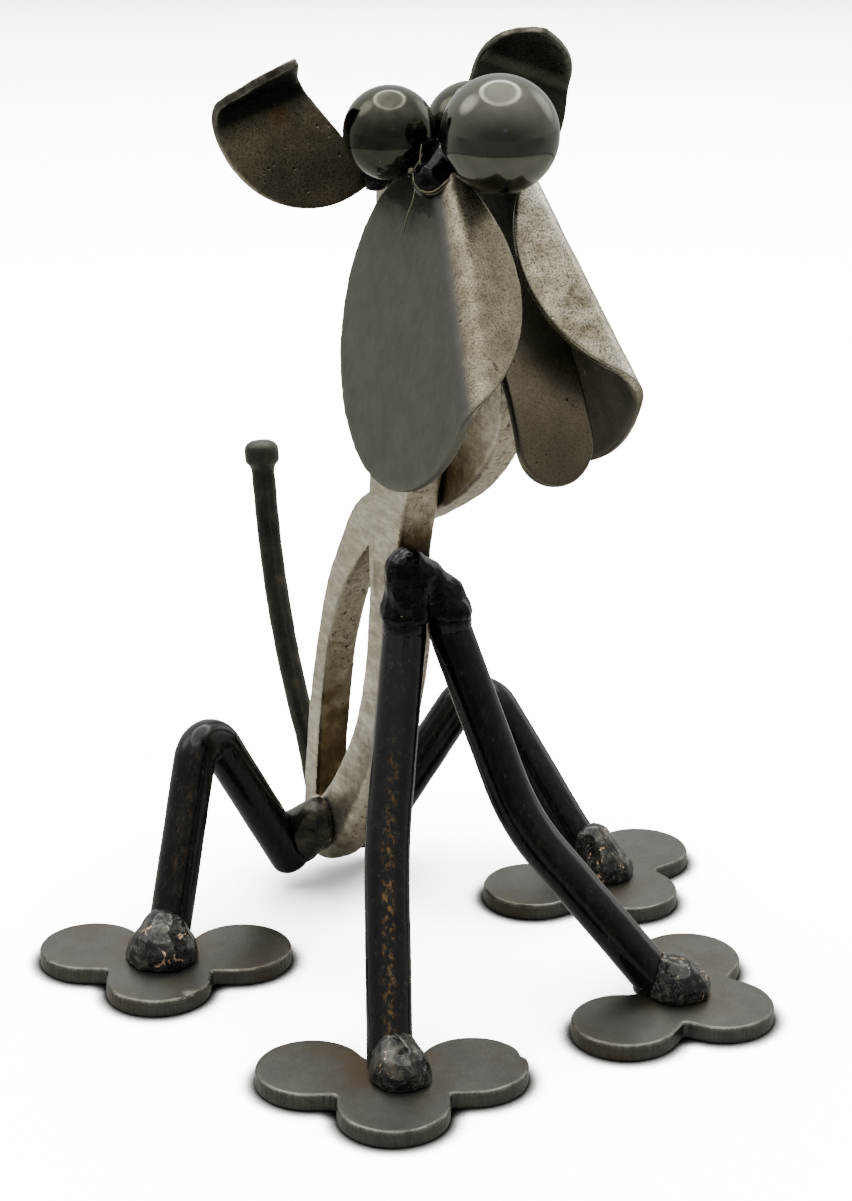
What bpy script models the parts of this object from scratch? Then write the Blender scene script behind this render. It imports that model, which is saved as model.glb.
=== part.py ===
"""Scrap metal dog: a small seated dog welded from a pair of scissor halves, steel balls, bent rods and plate.

The dog faces -Y and sits on four flat paws.  Every size below is in millimetres, measured from a point on the
ground midway between the four ankles; the empty "root" moves that point so that the centre of the model's
bounding box is over the world origin.
"""
import math

import bmesh
import bpy
from mathutils import Matrix, Vector

MM = 0.001
GAP = 0.3                      # clearance between neighbouring pieces
ROOT_SHIFT = (-0.31, -15.88)   # moves the ankles' midpoint so that the bounding box is centred

# Plate and rod stock
PLATE = 3.175                  # thickness of the paw plate
ROD_RADIUS = 3.97              # leg rod
ROD_SIDES = 16

# Paws: a plate with three round lobes, all of one radius
LOBE_RADIUS = 9.525
SIDE_REACH = 1.46 * LOBE_RADIUS      # ankle to the centre of a side lobe
TOE_REACH = 1.30 * LOBE_RADIUS       # ankle to the centre of the middle lobe
NOTCH_RADIUS = 0.10 * LOBE_RADIUS    # fillet where a side lobe meets the toe
HEEL_BACK = 0.70 * LOBE_RADIUS       # ankle to the centre of the heel's round notch between the side lobes
LOBE_STEPS = 14
HEEL_STEPS = 4

# Ankles: place on the ground, and how far the middle toe turns outward from straight ahead
ANKLES = {
    "front_right": ((-27.4, -28.7), 26.0),
    "front_left": ((28.0, -26.0), 33.5),
    "rear_right": ((-44.2, 30.7), 29.0),
    "rear_left": ((43.2, 23.7), 9.0),
}
# Ankle welds: how far the lump sits from the rod, its radius on the paw and its height
ANKLE_WELDS = {
    "front_right": ((-0.6, -4.4), 5.4, 6.8),
    "front_left": ((2.3, -3.0), 6.0, 6.5),
    "rear_right": ((-2.3, -4.0), 6.7, 7.8),
    "rear_left": ((1.0, -4.6), 5.8, 9.0),
}

# Where each leg's rod stands, and its upright stretch on the paw
FEET = {
    "front_right": (-27.8, -28.7),
    "front_left": (27.5, -26.0),
    "rear_right": (-43.6, 30.7),
    "rear_left": (43.2, 23.7),
}
FOOT_HEIGHT = 1.6

# Front legs: where the rod meets the shoulder weld, and where it is bent half-way down
SHOULDER_Z = 67.3
FRONT_LEGS = {
    "front_right": ((-4.5, 10.2), (-18.3, -9.2, 33.7)),
    "front_left": ((4.1, 9.0), (10.1, -6.5, 32.3)),
}
BEND_REACH = 7.7               # from the bend's corner to where the rod is straight
BEND_PARTS = 6
UPRIGHT_TOP = 2.5              # upright stretch of a front leg's rod in the shoulder weld

# Rear legs: a rod bent sharply at the knee, with the thigh's free end beside the bottom of the body
KNEES = {"rear_right": ((-29.0, 46.5, 41.0), 4.6), "rear_left": ((30.4, 45.7, 39.0), 5.15)}
KNEE_STEPS = 8
THIGH_ENDS = {"rear_right": (-9.0, 49.5, 5.0), "rear_left": (8.4, 52.0, 4.0)}

# Body: a forged scissor half in the plane X = 0.  Controls are (y, z, width in the plane, half thickness,
# rounding of the outer corners)
NECK_AND_CHEST = (
    (15.6, 156.5, 9.0, 3.2, 1.0),
    (15.6, 150.0, 11.6, 3.7, 1.0),
    (16.4, 126.0, 15.5, 3.7, 1.0),
    (17.2, 103.0, 16.9, 3.7, 1.0),
    (19.9, 83.0, 12.4, 3.7, 1.0),
    (20.9, 74.0, 10.6, 3.7, 1.0),
    (20.8, 61.0, 11.5, 3.8, 1.2),
    (24.4, 45.0, 10.6, 3.9, 1.6),
    (31.0, 31.0, 10.2, 3.9, 2.2),
    (39.9, 18.6, 11.4, 3.9, 2.8),
    (46.0, 12.6, 12.2, 3.9, 3.0),
    (51.8, 10.2, 13.2, 3.9, 3.0),
    (56.2, 11.2, 9.8, 3.6, 2.6),
)
BACK = (
    (23.5, 84.5, 7.6, 3.3, 1.0),
    (29.2, 80.2, 8.6, 3.3, 1.0),
    (35.2, 73.4, 7.2, 3.3, 1.0),
    (41.0, 65.0, 5.8, 3.3, 1.0),
    (46.6, 52.0, 5.0, 3.3, 1.0),
    (50.4, 36.6, 5.4, 3.3, 1.0),
    (52.6, 23.1, 5.8, 3.3, 1.0),
    (53.6, 13.5, 5.8, 3.3, 1.0),
)
INNER_ROUNDING = 0.7
# Throat: the other scissor half's bow, flat against the left side of the neck
THROAT = (
    (27.0, 81.9, 5.0, 2.9, 0.8),
    (20.4, 86.3, 6.8, 2.95, 0.8),
    (8.7, 94.6, 9.5, 2.95, 0.8),
    (1.2, 101.7, 10.5, 2.95, 0.8),
    (-2.9, 107.6, 10.5, 2.95, 0.8),
    (-4.5, 114.7, 10.1, 2.95, 0.8),
    (-5.2, 127.0, 8.0, 2.95, 0.8),
)
THROAT_X = 6.95

# Head: ball bearings for the nose and the eyes
NOSE = ((-1.5, -17.5, 158.6), 9.6)
EYES = {"right": ((-12.0, 0.5, 157.0), 7.7), "left": ((3.75, 1.5, 156.4), 7.7)}

BEND_STEPS = 6                 # rulings across the bend of a folded plate, less one
RULING_GAP = 0.9               # least distance between the bend's rulings and the others
SHORTEST_RULING = 0.5

# Jowls: each a round plate folded along a crease that runs down and forward.  Both are given as right jowls
JOWL = {
    "corner": (-10.35, -11.2, 146.3),      # where the crease starts, on the outside of the bend
    "crease": (-0.18, -0.58, -0.79),
    "side": (-0.04, 0.81, -0.59),          # across the side of the face, away from the crease
    "outward": (-0.98, 0.08, 0.16),
    "fold": math.radians(95.2),
    "bend_radius": 4.5,
    "bends_outward": False,
    "centre": (15.06, -17.2),              # disc centre: along the crease, across it
    "half_axes": (26.6, 28.35),
    "thickness": 1.5,
    "steps": 26,
}
JOWLS = {"right": JOWL, "left": {**JOWL, "corner": (-10.05, -11.2, 146.3), "half_axes": (26.2, 28.05)}}
# Ears: each half of a round plate, folded so that its upper part cups forward.  Both are given as right ears
EAR = {"bends_outward": True, "bend_radius": 4.0, "half_axes": (18.7, 18.7), "thickness": 1.5, "steps": 22}
EARS = {
    "right": {
        **EAR,
        "corner": (-24.3, 19.0, 159.0),
        "crease": (-0.96, -0.11, -0.25),
        "side": (0.26, -0.12, -0.96),
        "outward": (0.07, -0.99, 0.15),
        "fold": math.radians(72.0),
        "centre": (-7.4, -2.9),
        "cut": (0.0, 0.445),               # the straight edge of the half disc: offset and slant
        "corner_radius": 0.5,              # rounding of its upper corner
    },
    "left": {
        **EAR,
        "corner": (-24.2, 21.6, 159.5),
        "crease": (-0.932, -0.059, -0.366),
        "side": (0.37, -0.139, -0.924),
        "outward": (0.008, -0.99, 0.149),
        "fold": math.radians(65.7),
        "centre": (-7.6, -6.6),
        "cut": (-1.4, 0.03),
        "corner_radius": 8.4,
    },
}

# Welds.  A lump between other pieces is the hull of some balls: (centre, radius)
SHOULDER_WELD = (
    ((-4.0, 10.3, SHOULDER_Z + 1.4), 4.3),
    ((-3.4, 11.0, SHOULDER_Z + 9.8), 3.8),
    ((4.1, 9.3, SHOULDER_Z + 1.2), 4.2),
    ((3.3, 10.0, SHOULDER_Z + 3.0), 4.0),
)
HEAD_WELD = (((-9.4, -9.0, 150.6), 3.1), ((-5.0, -7.0, 152.0), 4.4), ((-1.5, 4.0, 150.0), 5.4))
EAR_WELD = ((5.7, 18.2, 146.6), 2.9)        # between each ear's lower corner and the neck
WELD_SPAN = 16.0               # half width over which the neck's own line bounds the welds before it
# A hip weld, on the left: its balls' x, and their places behind and above the thigh's end
HIP_WELD = (((8.0, 0.5, 4.7), 5.2), ((5.4, -4.2, 9.7), 4.4))

# Tongue: a strip with a round end, curving down between the jowls.  Spine points are (y, z)
TONGUE_X = 2.5
TONGUE_SPINE = ((-10.1, 136.7), (-21.0, 124.3), (-27.6, 114.2), (-31.2, 103.0))
TONGUE_HALF_WIDTH = 6.9
TONGUE_THICKNESS = 2.0
TONGUE_END_ANGLES = (15, 30, 45, 58, 70, 80)

# Tail: a bent nail, head upward
TAIL_SPINE = (
    (0.7, 59.0, 13.0), (0.5, 59.0, 16.5), (0.1, 60.4, 24.0), (-0.8, 64.4, 34.5),
    (-1.2, 69.6, 47.5), (-1.2, 74.0, 61.0), (-1.2, 77.0, 76.0), (-1.2, 77.9, 83.0),
)
TAIL_RADIUS = 2.3
NAIL_HEAD_RADIUS = 3.4
NAIL_HEAD_HEIGHT = 5.0
NAIL_HEAD = (                  # its profile: height from the top, radius
    (-NAIL_HEAD_HEIGHT, TAIL_RADIUS),
    (1.0 - NAIL_HEAD_HEIGHT, NAIL_HEAD_RADIUS),
    (-0.9, NAIL_HEAD_RADIUS),
    (-0.25, NAIL_HEAD_RADIUS - 0.6),
    (0.0, NAIL_HEAD_RADIUS - 1.5),
)

BALL_STEEL = ("ball_steel", (0.12, 0.12, 0.13), 0.16, 1.0)
FORGED_STEEL = ("forged_steel", (0.50, 0.46, 0.41), 0.42, 1.0)
BLACK_ROD = ("black_rod", (0.045, 0.042, 0.044), 0.38, 1.0)
SCALED_PLATE = ("scaled_plate", (0.17, 0.15, 0.135), 0.5, 1.0)
NAIL_STEEL = ("nail_steel", (0.20, 0.155, 0.13), 0.5, 1.0)
WELD = ("weld", (0.06, 0.052, 0.05), 0.45, 1.0)


def scaled(point):
    """A point in millimetres as a Blender vector."""
    return Vector(point) * MM


def mirrored(point):
    return (-point[0], point[1], point[2])


def blend(controls, steps):
    """Points along a smooth curve through the controls (Catmull-Rom), steps to a span."""
    padded = [controls[0], *controls, controls[-1]]
    result = []
    for i in range(len(controls) - 1):
        p0, p1, p2, p3 = padded[i:i + 4]
        for k in range(steps):
            t = k / steps
            result.append(tuple(
                0.5 * (2 * b + (c - a) * t + (2 * a - 5 * b + 4 * c - d) * t ** 2
                       + (3 * b - 3 * c + d - a) * t ** 3)
                for a, b, c, d in zip(p0, p1, p2, p3)))
    result.append(tuple(controls[-1]))
    return result


def arc(centre, radius, start, end, steps):
    """Points of an arc in a plane, its angles in degrees."""
    angles = [math.radians(start + (end - start) * k / steps) for k in range(steps + 1)]
    return [(centre[0] + radius * math.cos(a), centre[1] + radius * math.sin(a)) for a in angles]


class Model:
    """Keeps the collections, the parent empty and the materials while the parts are made."""

    def __init__(self, name):
        for thing in list(bpy.data.objects):
            bpy.data.objects.remove(thing, do_unlink=True)
        self.parts = bpy.data.collections.new(name)
        self.cutters = bpy.data.collections.new(name + "_cutters")
        for collection in (self.parts, self.cutters):
            bpy.context.scene.collection.children.link(collection)
        self.root = bpy.data.objects.new("root", None)
        self.root.location = (ROOT_SHIFT[0] * MM, ROOT_SHIFT[1] * MM, 0.0)
        self.parts.objects.link(self.root)
        self.materials = {}

    def material(self, look):
        name, colour, roughness, metallic = look
        if name not in self.materials:
            material = bpy.data.materials.new(name)
            material.use_nodes = True
            shader = material.node_tree.nodes["Principled BSDF"]
            shader.inputs["Base Color"].default_value = (*colour, 1.0)
            shader.inputs["Roughness"].default_value = roughness
            shader.inputs["Metallic"].default_value = metallic
            self.materials[name] = material
        return self.materials[name]

    def add(self, name, data, look):
        """Link a mesh or a curve as a part (with a look) or as a hidden cutter (without one)."""
        thing = bpy.data.objects.new(name, data)
        thing.parent = self.root
        if look:
            self.parts.objects.link(thing)
            data.materials.append(self.material(look))
        else:
            self.cutters.objects.link(thing)
            thing.hide_render = True
            thing.display_type = "WIRE"
        return thing


def mesh_from(name, bm, smooth_angle=None):
    bmesh.ops.recalc_face_normals(bm, faces=bm.faces)
    mesh = bpy.data.meshes.new(name)
    bm.to_mesh(mesh)
    bm.free()
    if smooth_angle:
        mesh.shade_smooth()
        mesh.set_sharp_from_angle(angle=math.radians(smooth_angle))
    return mesh


def combine(part, other, operation):
    modifier = part.modifiers.new(operation.lower() + "_" + other.name, "BOOLEAN")
    modifier.operation = operation
    modifier.solver = "EXACT"
    modifier.object = other


def ball(model, name, centre, radius, look, segments=28):
    bm = bmesh.new()
    bmesh.ops.create_uvsphere(bm, u_segments=segments, v_segments=segments // 2, radius=radius * MM)
    thing = model.add(name, mesh_from(name, bm, 60), look)
    thing.location = scaled(centre)
    return thing


def rod(model, name, points, radii, look, sides=ROD_SIDES):
    """A round bar along the points, with its own radius at each of them."""
    curve = bpy.data.curves.new(name, "CURVE")
    curve.dimensions = "3D"
    curve.bevel_depth = MM
    curve.bevel_resolution = (sides - 4) // 2
    curve.use_fill_caps = True
    spline = curve.splines.new("POLY")
    spline.points.add(len(points) - 1)
    for slot, point, radius in zip(spline.points, points, radii):
        slot.co = (*scaled(point), 1.0)
        slot.radius = radius
    spline.use_smooth = True
    return model.add(name, curve, look)


def lengthened(points, amount):
    """The same path, carried on straight at both ends."""
    first, last = (tuple(Vector(end) + (Vector(end) - Vector(inner)).normalized() * amount)
                   for end, inner in ((points[0], points[1]), (points[-1], points[-2])))
    return [first, *points, last]


def rod_cutter(model, name, points):
    """A closed mesh that clears a leg's rod all round, for use as a cutter."""
    path = lengthened(points, GAP)
    curve = rod(model, name + "_curve", path, [ROD_RADIUS + GAP] * len(path), None)
    bpy.context.view_layer.update()
    evaluated = curve.evaluated_get(bpy.context.evaluated_depsgraph_get())
    bm = bmesh.new()
    bm.from_mesh(bpy.data.meshes.new_from_object(evaluated))
    bmesh.ops.remove_doubles(bm, verts=bm.verts, dist=0.01 * MM)
    cutter = model.add(name, mesh_from(name, bm), None)
    bpy.data.objects.remove(curve, do_unlink=True)
    return cutter


def bar_section(width, half_thickness, outer, inner):
    """Corners of a bar's section as (across, outward), rounded outside and inside."""
    section = []
    corners = ((1, 1, outer, 0), (-1, 1, outer, 90), (-1, -1, inner, 180), (1, -1, inner, 270))
    for side, out, radius, start in corners:
        centre = (side * (half_thickness - radius), out * (width / 2 - radius))
        section += arc(centre, radius, start, start + 90, 2)
    return section


def bar(model, name, controls, look, plane_x=0.0, grow=0.0, half_thickness=None):
    """Loft a bar along a spine that lies in a plane of constant X; grow makes the cutter that clears it."""
    stations = blend(controls, 2)
    bm = bmesh.new()
    rings = []
    for i, (y, z, width, thick, outer) in enumerate(stations):
        before, after = stations[max(i - 1, 0)], stations[min(i + 1, len(stations) - 1)]
        along = Vector((0.0, after[0] - before[0], after[1] - before[1])).normalized()
        outward = Vector((0.0, along.z, -along.y))
        section = bar_section(width + 2 * grow, (half_thickness or thick) + grow, outer, INNER_ROUNDING)
        rings.append([bm.verts.new(scaled(Vector((plane_x + across, y, z)) + outward * out))
                      for across, out in section])
    for ring, following in zip(rings, rings[1:]):
        for k in range(len(ring)):
            bm.faces.new((ring[k - 1], ring[k], following[k], following[k - 1]))
    bm.faces.new(rings[0])
    bm.faces.new(rings[-1])
    return model.add(name, mesh_from(name, bm, 35), look)


def sheet(model, name, rows, thickness, look, flip=False):
    """A plate from its straight rulings, thickened behind its face."""
    bm = bmesh.new()
    lines = [[bm.verts.new(scaled(point)) for point in row] for row in rows]
    for line, following in zip(lines, lines[1:]):
        loop = line + following[::-1]
        bm.faces.new(loop[::-1] if flip else loop)
    mesh = bpy.data.meshes.new(name)
    bm.to_mesh(mesh)
    bm.free()
    mesh.shade_smooth()
    mesh.set_sharp_from_angle(angle=math.radians(35))
    thing = model.add(name, mesh, look)
    solidify = thing.modifiers.new("thickness", "SOLIDIFY")
    solidify.thickness = thickness * MM
    solidify.offset = -1.0
    solidify.use_even_offset = True
    return thing


def folded_plate(model, name, shape, look, left, grow=0.0):
    """A round plate folded along a crease; the left one mirrors the right one, and grow makes a cutter."""
    crease = Vector(shape["crease"]).normalized()
    rising = -Vector(shape["side"])
    rising = (rising - crease * rising.dot(crease)).normalized()
    face = Vector(shape["outward"])
    face = (face - crease * face.dot(crease) - rising * face.dot(rising)).normalized()
    corner = Vector(shape["corner"]) + face * grow
    radius, fold = shape["bend_radius"], shape["fold"]
    half_bend = radius * fold / 2
    turn = face if shape["bends_outward"] else -face

    def across(t):
        """Offset from the crease's line at the distance t across the flat sheet."""
        if t <= -half_bend:
            return rising * (t + half_bend)
        angle = min((t + half_bend) / radius, fold)
        bent = (rising * math.sin(angle) + turn * (1 - math.cos(angle))) * radius
        beyond = max(t - half_bend, 0.0)
        return bent + (rising * math.cos(fold) + turn * math.sin(fold)) * beyond

    s0, t0 = shape["centre"]
    half_s, half_t = (axis + grow for axis in shape["half_axes"])
    offset, slant = shape.get("cut", (None, None))
    corner_radius = shape.get("corner_radius", 0.0)

    def span(t):
        """Ends of the ruling at t."""
        reach = half_s * math.sqrt(max(0.0, 1 - ((t - t0) / half_t) ** 2))
        if offset is None:
            return s0 - reach, s0 + reach
        over = min(max(0.0, t - (t0 + half_t - corner_radius)), corner_radius)
        rounding = corner_radius - math.sqrt(corner_radius ** 2 - over ** 2)
        return max(s0 - reach, s0 + offset + slant * (t - t0) + rounding - grow), s0 + reach

    margin = math.pi / shape["steps"] / 2
    angles = [margin + (math.pi - 2 * margin) * k / shape["steps"] for k in range(shape["steps"] + 1)]
    bends = [half_bend * (2 * k / BEND_STEPS - 1) for k in range(BEND_STEPS + 1)]
    levels = [t0 - half_t * math.cos(a) for a in angles]
    levels = sorted([t for t in levels if min(abs(t - b) for b in bends) > RULING_GAP] + bends)
    rows = []
    for t in levels:
        low, high = span(t)
        if high - low < SHORTEST_RULING:
            continue
        ends = [corner + across(t) + crease * s for s in (low, high)]
        rows.append([mirrored(end) if left else end for end in ends])
    faces_back = crease.cross(rising).dot(face) < 0
    return sheet(model, name, rows, shape["thickness"] + 2 * grow, look, flip=faces_back != left)


def paw_outline():
    """Half plan of the paw, mirrored: heel notch, side lobe, notch, toe."""
    r, f = LOBE_RADIUS, NOTCH_RADIUS
    heel = math.degrees(math.atan2(HEEL_BACK, SIDE_REACH))
    heel_radius = math.hypot(HEEL_BACK, SIDE_REACH) - r
    half = arc((0.0, -HEEL_BACK), heel_radius, 90, heel, HEEL_STEPS)
    half += arc((SIDE_REACH, 0.0), r, heel - 180, 90, LOBE_STEPS)[1:]
    half += arc((r + f, r + f), f, 270, 180, 2)
    half += arc((0.0, TOE_REACH), r, 0, 90, LOBE_STEPS // 2)
    return half + [(-x, y) for x, y in half[-2:0:-1]]


def make_paw(model, leg):
    (x, y), turn = ANKLES[leg]
    curve = bpy.data.curves.new("paw_" + leg, "CURVE")
    curve.dimensions = "2D"
    curve.fill_mode = "BOTH"
    curve.extrude = PLATE / 2 * MM
    outline = paw_outline()
    spline = curve.splines.new("POLY")
    spline.points.add(len(outline) - 1)
    for slot, (u, v) in zip(spline.points, outline):
        slot.co = (u * MM, v * MM, 0.0, 1.0)
    spline.use_cyclic_u = True
    paw = model.add("paw_" + leg, curve, SCALED_PLATE)
    paw.location = scaled((x, y, PLATE / 2))
    outward = math.radians(turn) * (1 if x > 0 else -1)
    paw.rotation_euler.z = math.pi + outward


def foot(leg):
    """The upright end of a leg's rod, just above its paw."""
    x, y = FEET[leg]
    return [(x, y, PLATE + GAP), (x, y, PLATE + GAP + FOOT_HEIGHT)]


def front_leg_path(leg):
    """Two straight stretches with a soft bend between them."""
    points = foot(leg)
    (top_x, top_y), bend = FRONT_LEGS[leg]
    start, corner, end = Vector(points[-1]), Vector(bend), Vector((top_x, top_y, SHOULDER_Z - UPRIGHT_TOP))
    below = corner + (start - corner).normalized() * BEND_REACH
    above = corner + (end - corner).normalized() * BEND_REACH
    for k in range(BEND_PARTS + 1):
        t = k / BEND_PARTS
        points.append(tuple(below.lerp(corner, t).lerp(corner.lerp(above, t), t)))
    points.append(tuple(end))
    points.append((top_x, top_y, SHOULDER_Z))
    return points


def rear_leg_path(leg):
    """Shin, rounded knee and thigh."""
    points = foot(leg)
    place, radius = KNEES[leg]
    start, knee, end = Vector(points[-1]), Vector(place), Vector(THIGH_ENDS[leg])
    down, back = (start - knee).normalized(), (end - knee).normalized()
    half_angle = down.angle(back) / 2
    reach = radius / math.tan(half_angle)
    centre = knee + (down + back).normalized() * (radius / math.sin(half_angle))
    shin_top = knee + down * reach
    points.append(tuple(start.lerp(shin_top, 0.5)))
    points.append(tuple(shin_top))
    from_centre = (shin_top - centre).normalized()
    axis = from_centre.cross(((knee + back * reach) - centre).normalized()).normalized()
    sweep = math.pi - 2 * half_angle
    for k in range(1, KNEE_STEPS + 1):
        turned = Matrix.Rotation(sweep * k / KNEE_STEPS, 3, axis) @ from_centre
        points.append(tuple(centre + turned * radius))
    points.append(tuple(end))
    return points


def make_body(model):
    body = bar(model, "body_bow", NECK_AND_CHEST, FORGED_STEEL)
    combine(body, bar(model, "back_half", BACK, None), "UNION")
    bar(model, "throat_bow", THROAT, FORGED_STEEL, plane_x=THROAT_X)


def make_head(model):
    balls = {"nose_ball": NOSE, "eye_right": EYES["right"], "eye_left": EYES["left"]}
    clearances = []
    for name, (centre, radius) in balls.items():
        ball(model, name, centre, radius, BALL_STEEL, segments=28 if name == "nose_ball" else 24)
        clearances.append(ball(model, name + "_clearance", centre, radius + GAP, None, segments=28))
    for side in ("right", "left"):
        jowl = folded_plate(model, "jowl_" + side, JOWLS[side], SCALED_PLATE, side == "left")
        for clearance in clearances:
            combine(jowl, clearance, "DIFFERENCE")
        folded_plate(model, "ear_" + side, EARS[side], SCALED_PLATE, side == "left")
    head_weld_clearance = hull(model, "weld_head_clearance", HEAD_WELD, None, grow=GAP)
    combine(bpy.data.objects["jowl_right"], head_weld_clearance, "DIFFERENCE")
    return clearances


def make_tongue(model):
    spine = blend(TONGUE_SPINE, 5)
    lengths = [0.0]
    for a, b in zip(spine, spine[1:]):
        lengths.append(lengths[-1] + math.dist(a, b))
    total, w = lengths[-1], TONGUE_HALF_WIDTH
    rows = []
    extra = [total - w * (1 - math.sin(math.radians(a))) for a in TONGUE_END_ANGLES]
    for s in sorted([s for s in lengths if s < total - w] + extra):
        i = max(k for k in range(len(spine) - 1) if lengths[k] <= s)
        k = (s - lengths[i]) / (lengths[i + 1] - lengths[i])
        y, z = (a + (b - a) * k for a, b in zip(spine[i], spine[i + 1]))
        into_end = max(0.0, s - (total - w))
        half = math.sqrt(w * w - into_end * into_end)
        rows.append([(TONGUE_X - half, y, z), (TONGUE_X + half, y, z)])
    tongue = sheet(model, "tongue", rows, TONGUE_THICKNESS, SCALED_PLATE)
    tongue.modifiers["thickness"].offset = 0.0


def make_tail(model):
    points = blend(TAIL_SPINE, 2)
    radii = [TAIL_RADIUS] * len(points)
    top = Vector(points[-1])
    up = (top - Vector(points[-2])).normalized()
    while (top - Vector(points[-1])).length < NAIL_HEAD_HEIGHT + 1.0:
        points.pop()
        radii.pop()
    for height, radius in NAIL_HEAD:
        points.append(tuple(top + up * height))
        radii.append(radius)
    rod(model, "tail_nail", points, radii, NAIL_STEEL, sides=14)


def hull(model, name, balls, look, floor=None, grow=0.0):
    """Convex hull of some balls, flat below the height of its floor; grow makes the cutter that clears it."""
    bm = bmesh.new()
    for centre, radius in balls:
        made = bmesh.ops.create_uvsphere(bm, u_segments=12, v_segments=8, radius=(radius + grow) * MM)
        bmesh.ops.translate(bm, vec=scaled(centre), verts=made["verts"])
    if floor is not None:
        for vert in bm.verts:
            vert.co.z = max(vert.co.z, floor * MM)
    result = bmesh.ops.convex_hull(bm, input=bm.verts)
    inside = [g for g in result["geom_interior"] if isinstance(g, bmesh.types.BMVert)]
    bmesh.ops.delete(bm, geom=inside, context="VERTS")
    hull_faces = {g for g in result["geom"] if isinstance(g, bmesh.types.BMFace)}
    bmesh.ops.delete(bm, geom=[f for f in bm.faces if f not in hull_faces], context="FACES_ONLY")
    bmesh.ops.dissolve_limit(bm, angle_limit=0.01, verts=bm.verts, edges=bm.edges)
    return model.add(name, mesh_from(name, bm, 50), look)


def make_welds(model, clearances, paths):
    front = bar(model, "neck_clearance", NECK_AND_CHEST, None, grow=GAP, half_thickness=WELD_SPAN)
    shoulder = hull(model, "weld_shoulder", SHOULDER_WELD, WELD, floor=SHOULDER_Z + GAP)
    combine(shoulder, front, "DIFFERENCE")
    body_parts = (bar(model, "chest_clearance", NECK_AND_CHEST, None, grow=GAP),
                  bar(model, "back_clearance", BACK, None, grow=GAP))
    head = hull(model, "weld_head", HEAD_WELD, WELD)
    for clearance in (*clearances, front):
        combine(head, clearance, "DIFFERENCE")
    for side, sign in (("right", -1), ("left", 1)):
        x, y, z = EAR_WELD[0]
        lump = ball(model, "weld_ear_" + side, (sign * x, y, z), EAR_WELD[1], WELD, segments=10)
        ear_clearance = folded_plate(model, side + "_ear_clearance", EARS[side], None, side == "left",
                                     grow=GAP)
        for clearance in (ear_clearance, body_parts[0], *clearances):
            combine(lump, clearance, "DIFFERENCE")
    for leg, path in paths.items():
        rod_clearance = rod_cutter(model, leg + "_clearance", path)
        (x, y), _ = ANKLES[leg]
        (shift_x, shift_y), radius, height = ANKLE_WELDS[leg]
        base = PLATE + GAP
        lump = hull(model, "weld_ankle_" + leg, (
            ((x + shift_x, y + shift_y, base), radius),
            ((x + shift_x / 3, y + shift_y / 3, base + height - ROD_RADIUS), ROD_RADIUS)), WELD, floor=base)
        combine(lump, rod_clearance, "DIFFERENCE")
        if leg in THIGH_ENDS:
            end_x, y, z = THIGH_ENDS[leg]
            side = math.copysign(1, end_x)
            balls = [((side * x, y + behind, z + above), radius) for (x, behind, above), radius in HIP_WELD]
            weld = hull(model, "weld_hip_" + leg[5:], balls, WELD)
            for cutter in (rod_clearance, *body_parts):
                combine(weld, cutter, "DIFFERENCE")


def main():
    model = Model("scrap_metal_dog")
    make_body(model)
    clearances = make_head(model)
    make_tongue(model)
    make_tail(model)
    paths = {leg: front_leg_path(leg) if leg in FRONT_LEGS else rear_leg_path(leg) for leg in ANKLES}
    for leg, path in paths.items():
        make_paw(model, leg)
        rod(model, "leg_" + leg, path, [ROD_RADIUS] * len(path), BLACK_ROD)
    make_welds(model, clearances, paths)


main()
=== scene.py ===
"""Looks of the scrap metal dog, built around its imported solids.

Sizes are in millimetres from the point on the ground midway between the ankles, as in the solids' own script.
placed() turns them into the row frame's metres.  The dog faces -Y and its right side is -X.
"""
import math

import bmesh
import bpy
import numpy as np
from mathutils import Matrix, Vector, noise


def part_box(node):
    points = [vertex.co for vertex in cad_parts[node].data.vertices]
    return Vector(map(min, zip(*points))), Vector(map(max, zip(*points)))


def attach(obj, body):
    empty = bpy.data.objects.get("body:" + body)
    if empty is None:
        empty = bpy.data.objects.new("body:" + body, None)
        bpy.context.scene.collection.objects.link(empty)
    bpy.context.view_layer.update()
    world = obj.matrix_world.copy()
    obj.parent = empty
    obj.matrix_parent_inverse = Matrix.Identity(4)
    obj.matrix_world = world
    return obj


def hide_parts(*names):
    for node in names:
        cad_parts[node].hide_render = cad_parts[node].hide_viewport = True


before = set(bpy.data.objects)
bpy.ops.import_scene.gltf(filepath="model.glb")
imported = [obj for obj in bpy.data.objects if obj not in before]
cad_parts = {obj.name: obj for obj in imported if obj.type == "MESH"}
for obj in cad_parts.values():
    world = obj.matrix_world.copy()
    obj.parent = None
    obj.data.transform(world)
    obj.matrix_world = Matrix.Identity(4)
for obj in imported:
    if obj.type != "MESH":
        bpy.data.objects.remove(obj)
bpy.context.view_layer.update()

MM = 0.001

# ---- sizes, as the solids have them
PLATE = 3.175
ROD_RADIUS = 3.97
LOBE_RADIUS = 9.525
SIDE_REACH = 1.46 * LOBE_RADIUS
TOE_REACH = 1.30 * LOBE_RADIUS
NOTCH_RADIUS = 0.10 * LOBE_RADIUS
HEEL_BACK = 0.70 * LOBE_RADIUS
ANKLES = {
    "front_right": ((-27.4, -28.7), 26.0),
    "front_left": ((28.0, -26.0), 33.5),
    "rear_right": ((-44.2, 30.7), 29.0),
    "rear_left": ((43.2, 23.7), 9.0),
}
FEET = {"front_right": (-27.8, -28.7), "front_left": (27.5, -26.0), "rear_right": (-43.6, 30.7),
        "rear_left": (43.2, 23.7)}
FOOT_HEIGHT = 1.9
SHOULDER_Z = 67.3
FRONT_LEGS = {
    "front_right": ((-4.5, 10.2), (-18.3, -9.2, 33.7)),
    "front_left": ((4.1, 9.0), (10.1, -6.5, 32.3)),
}
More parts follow.
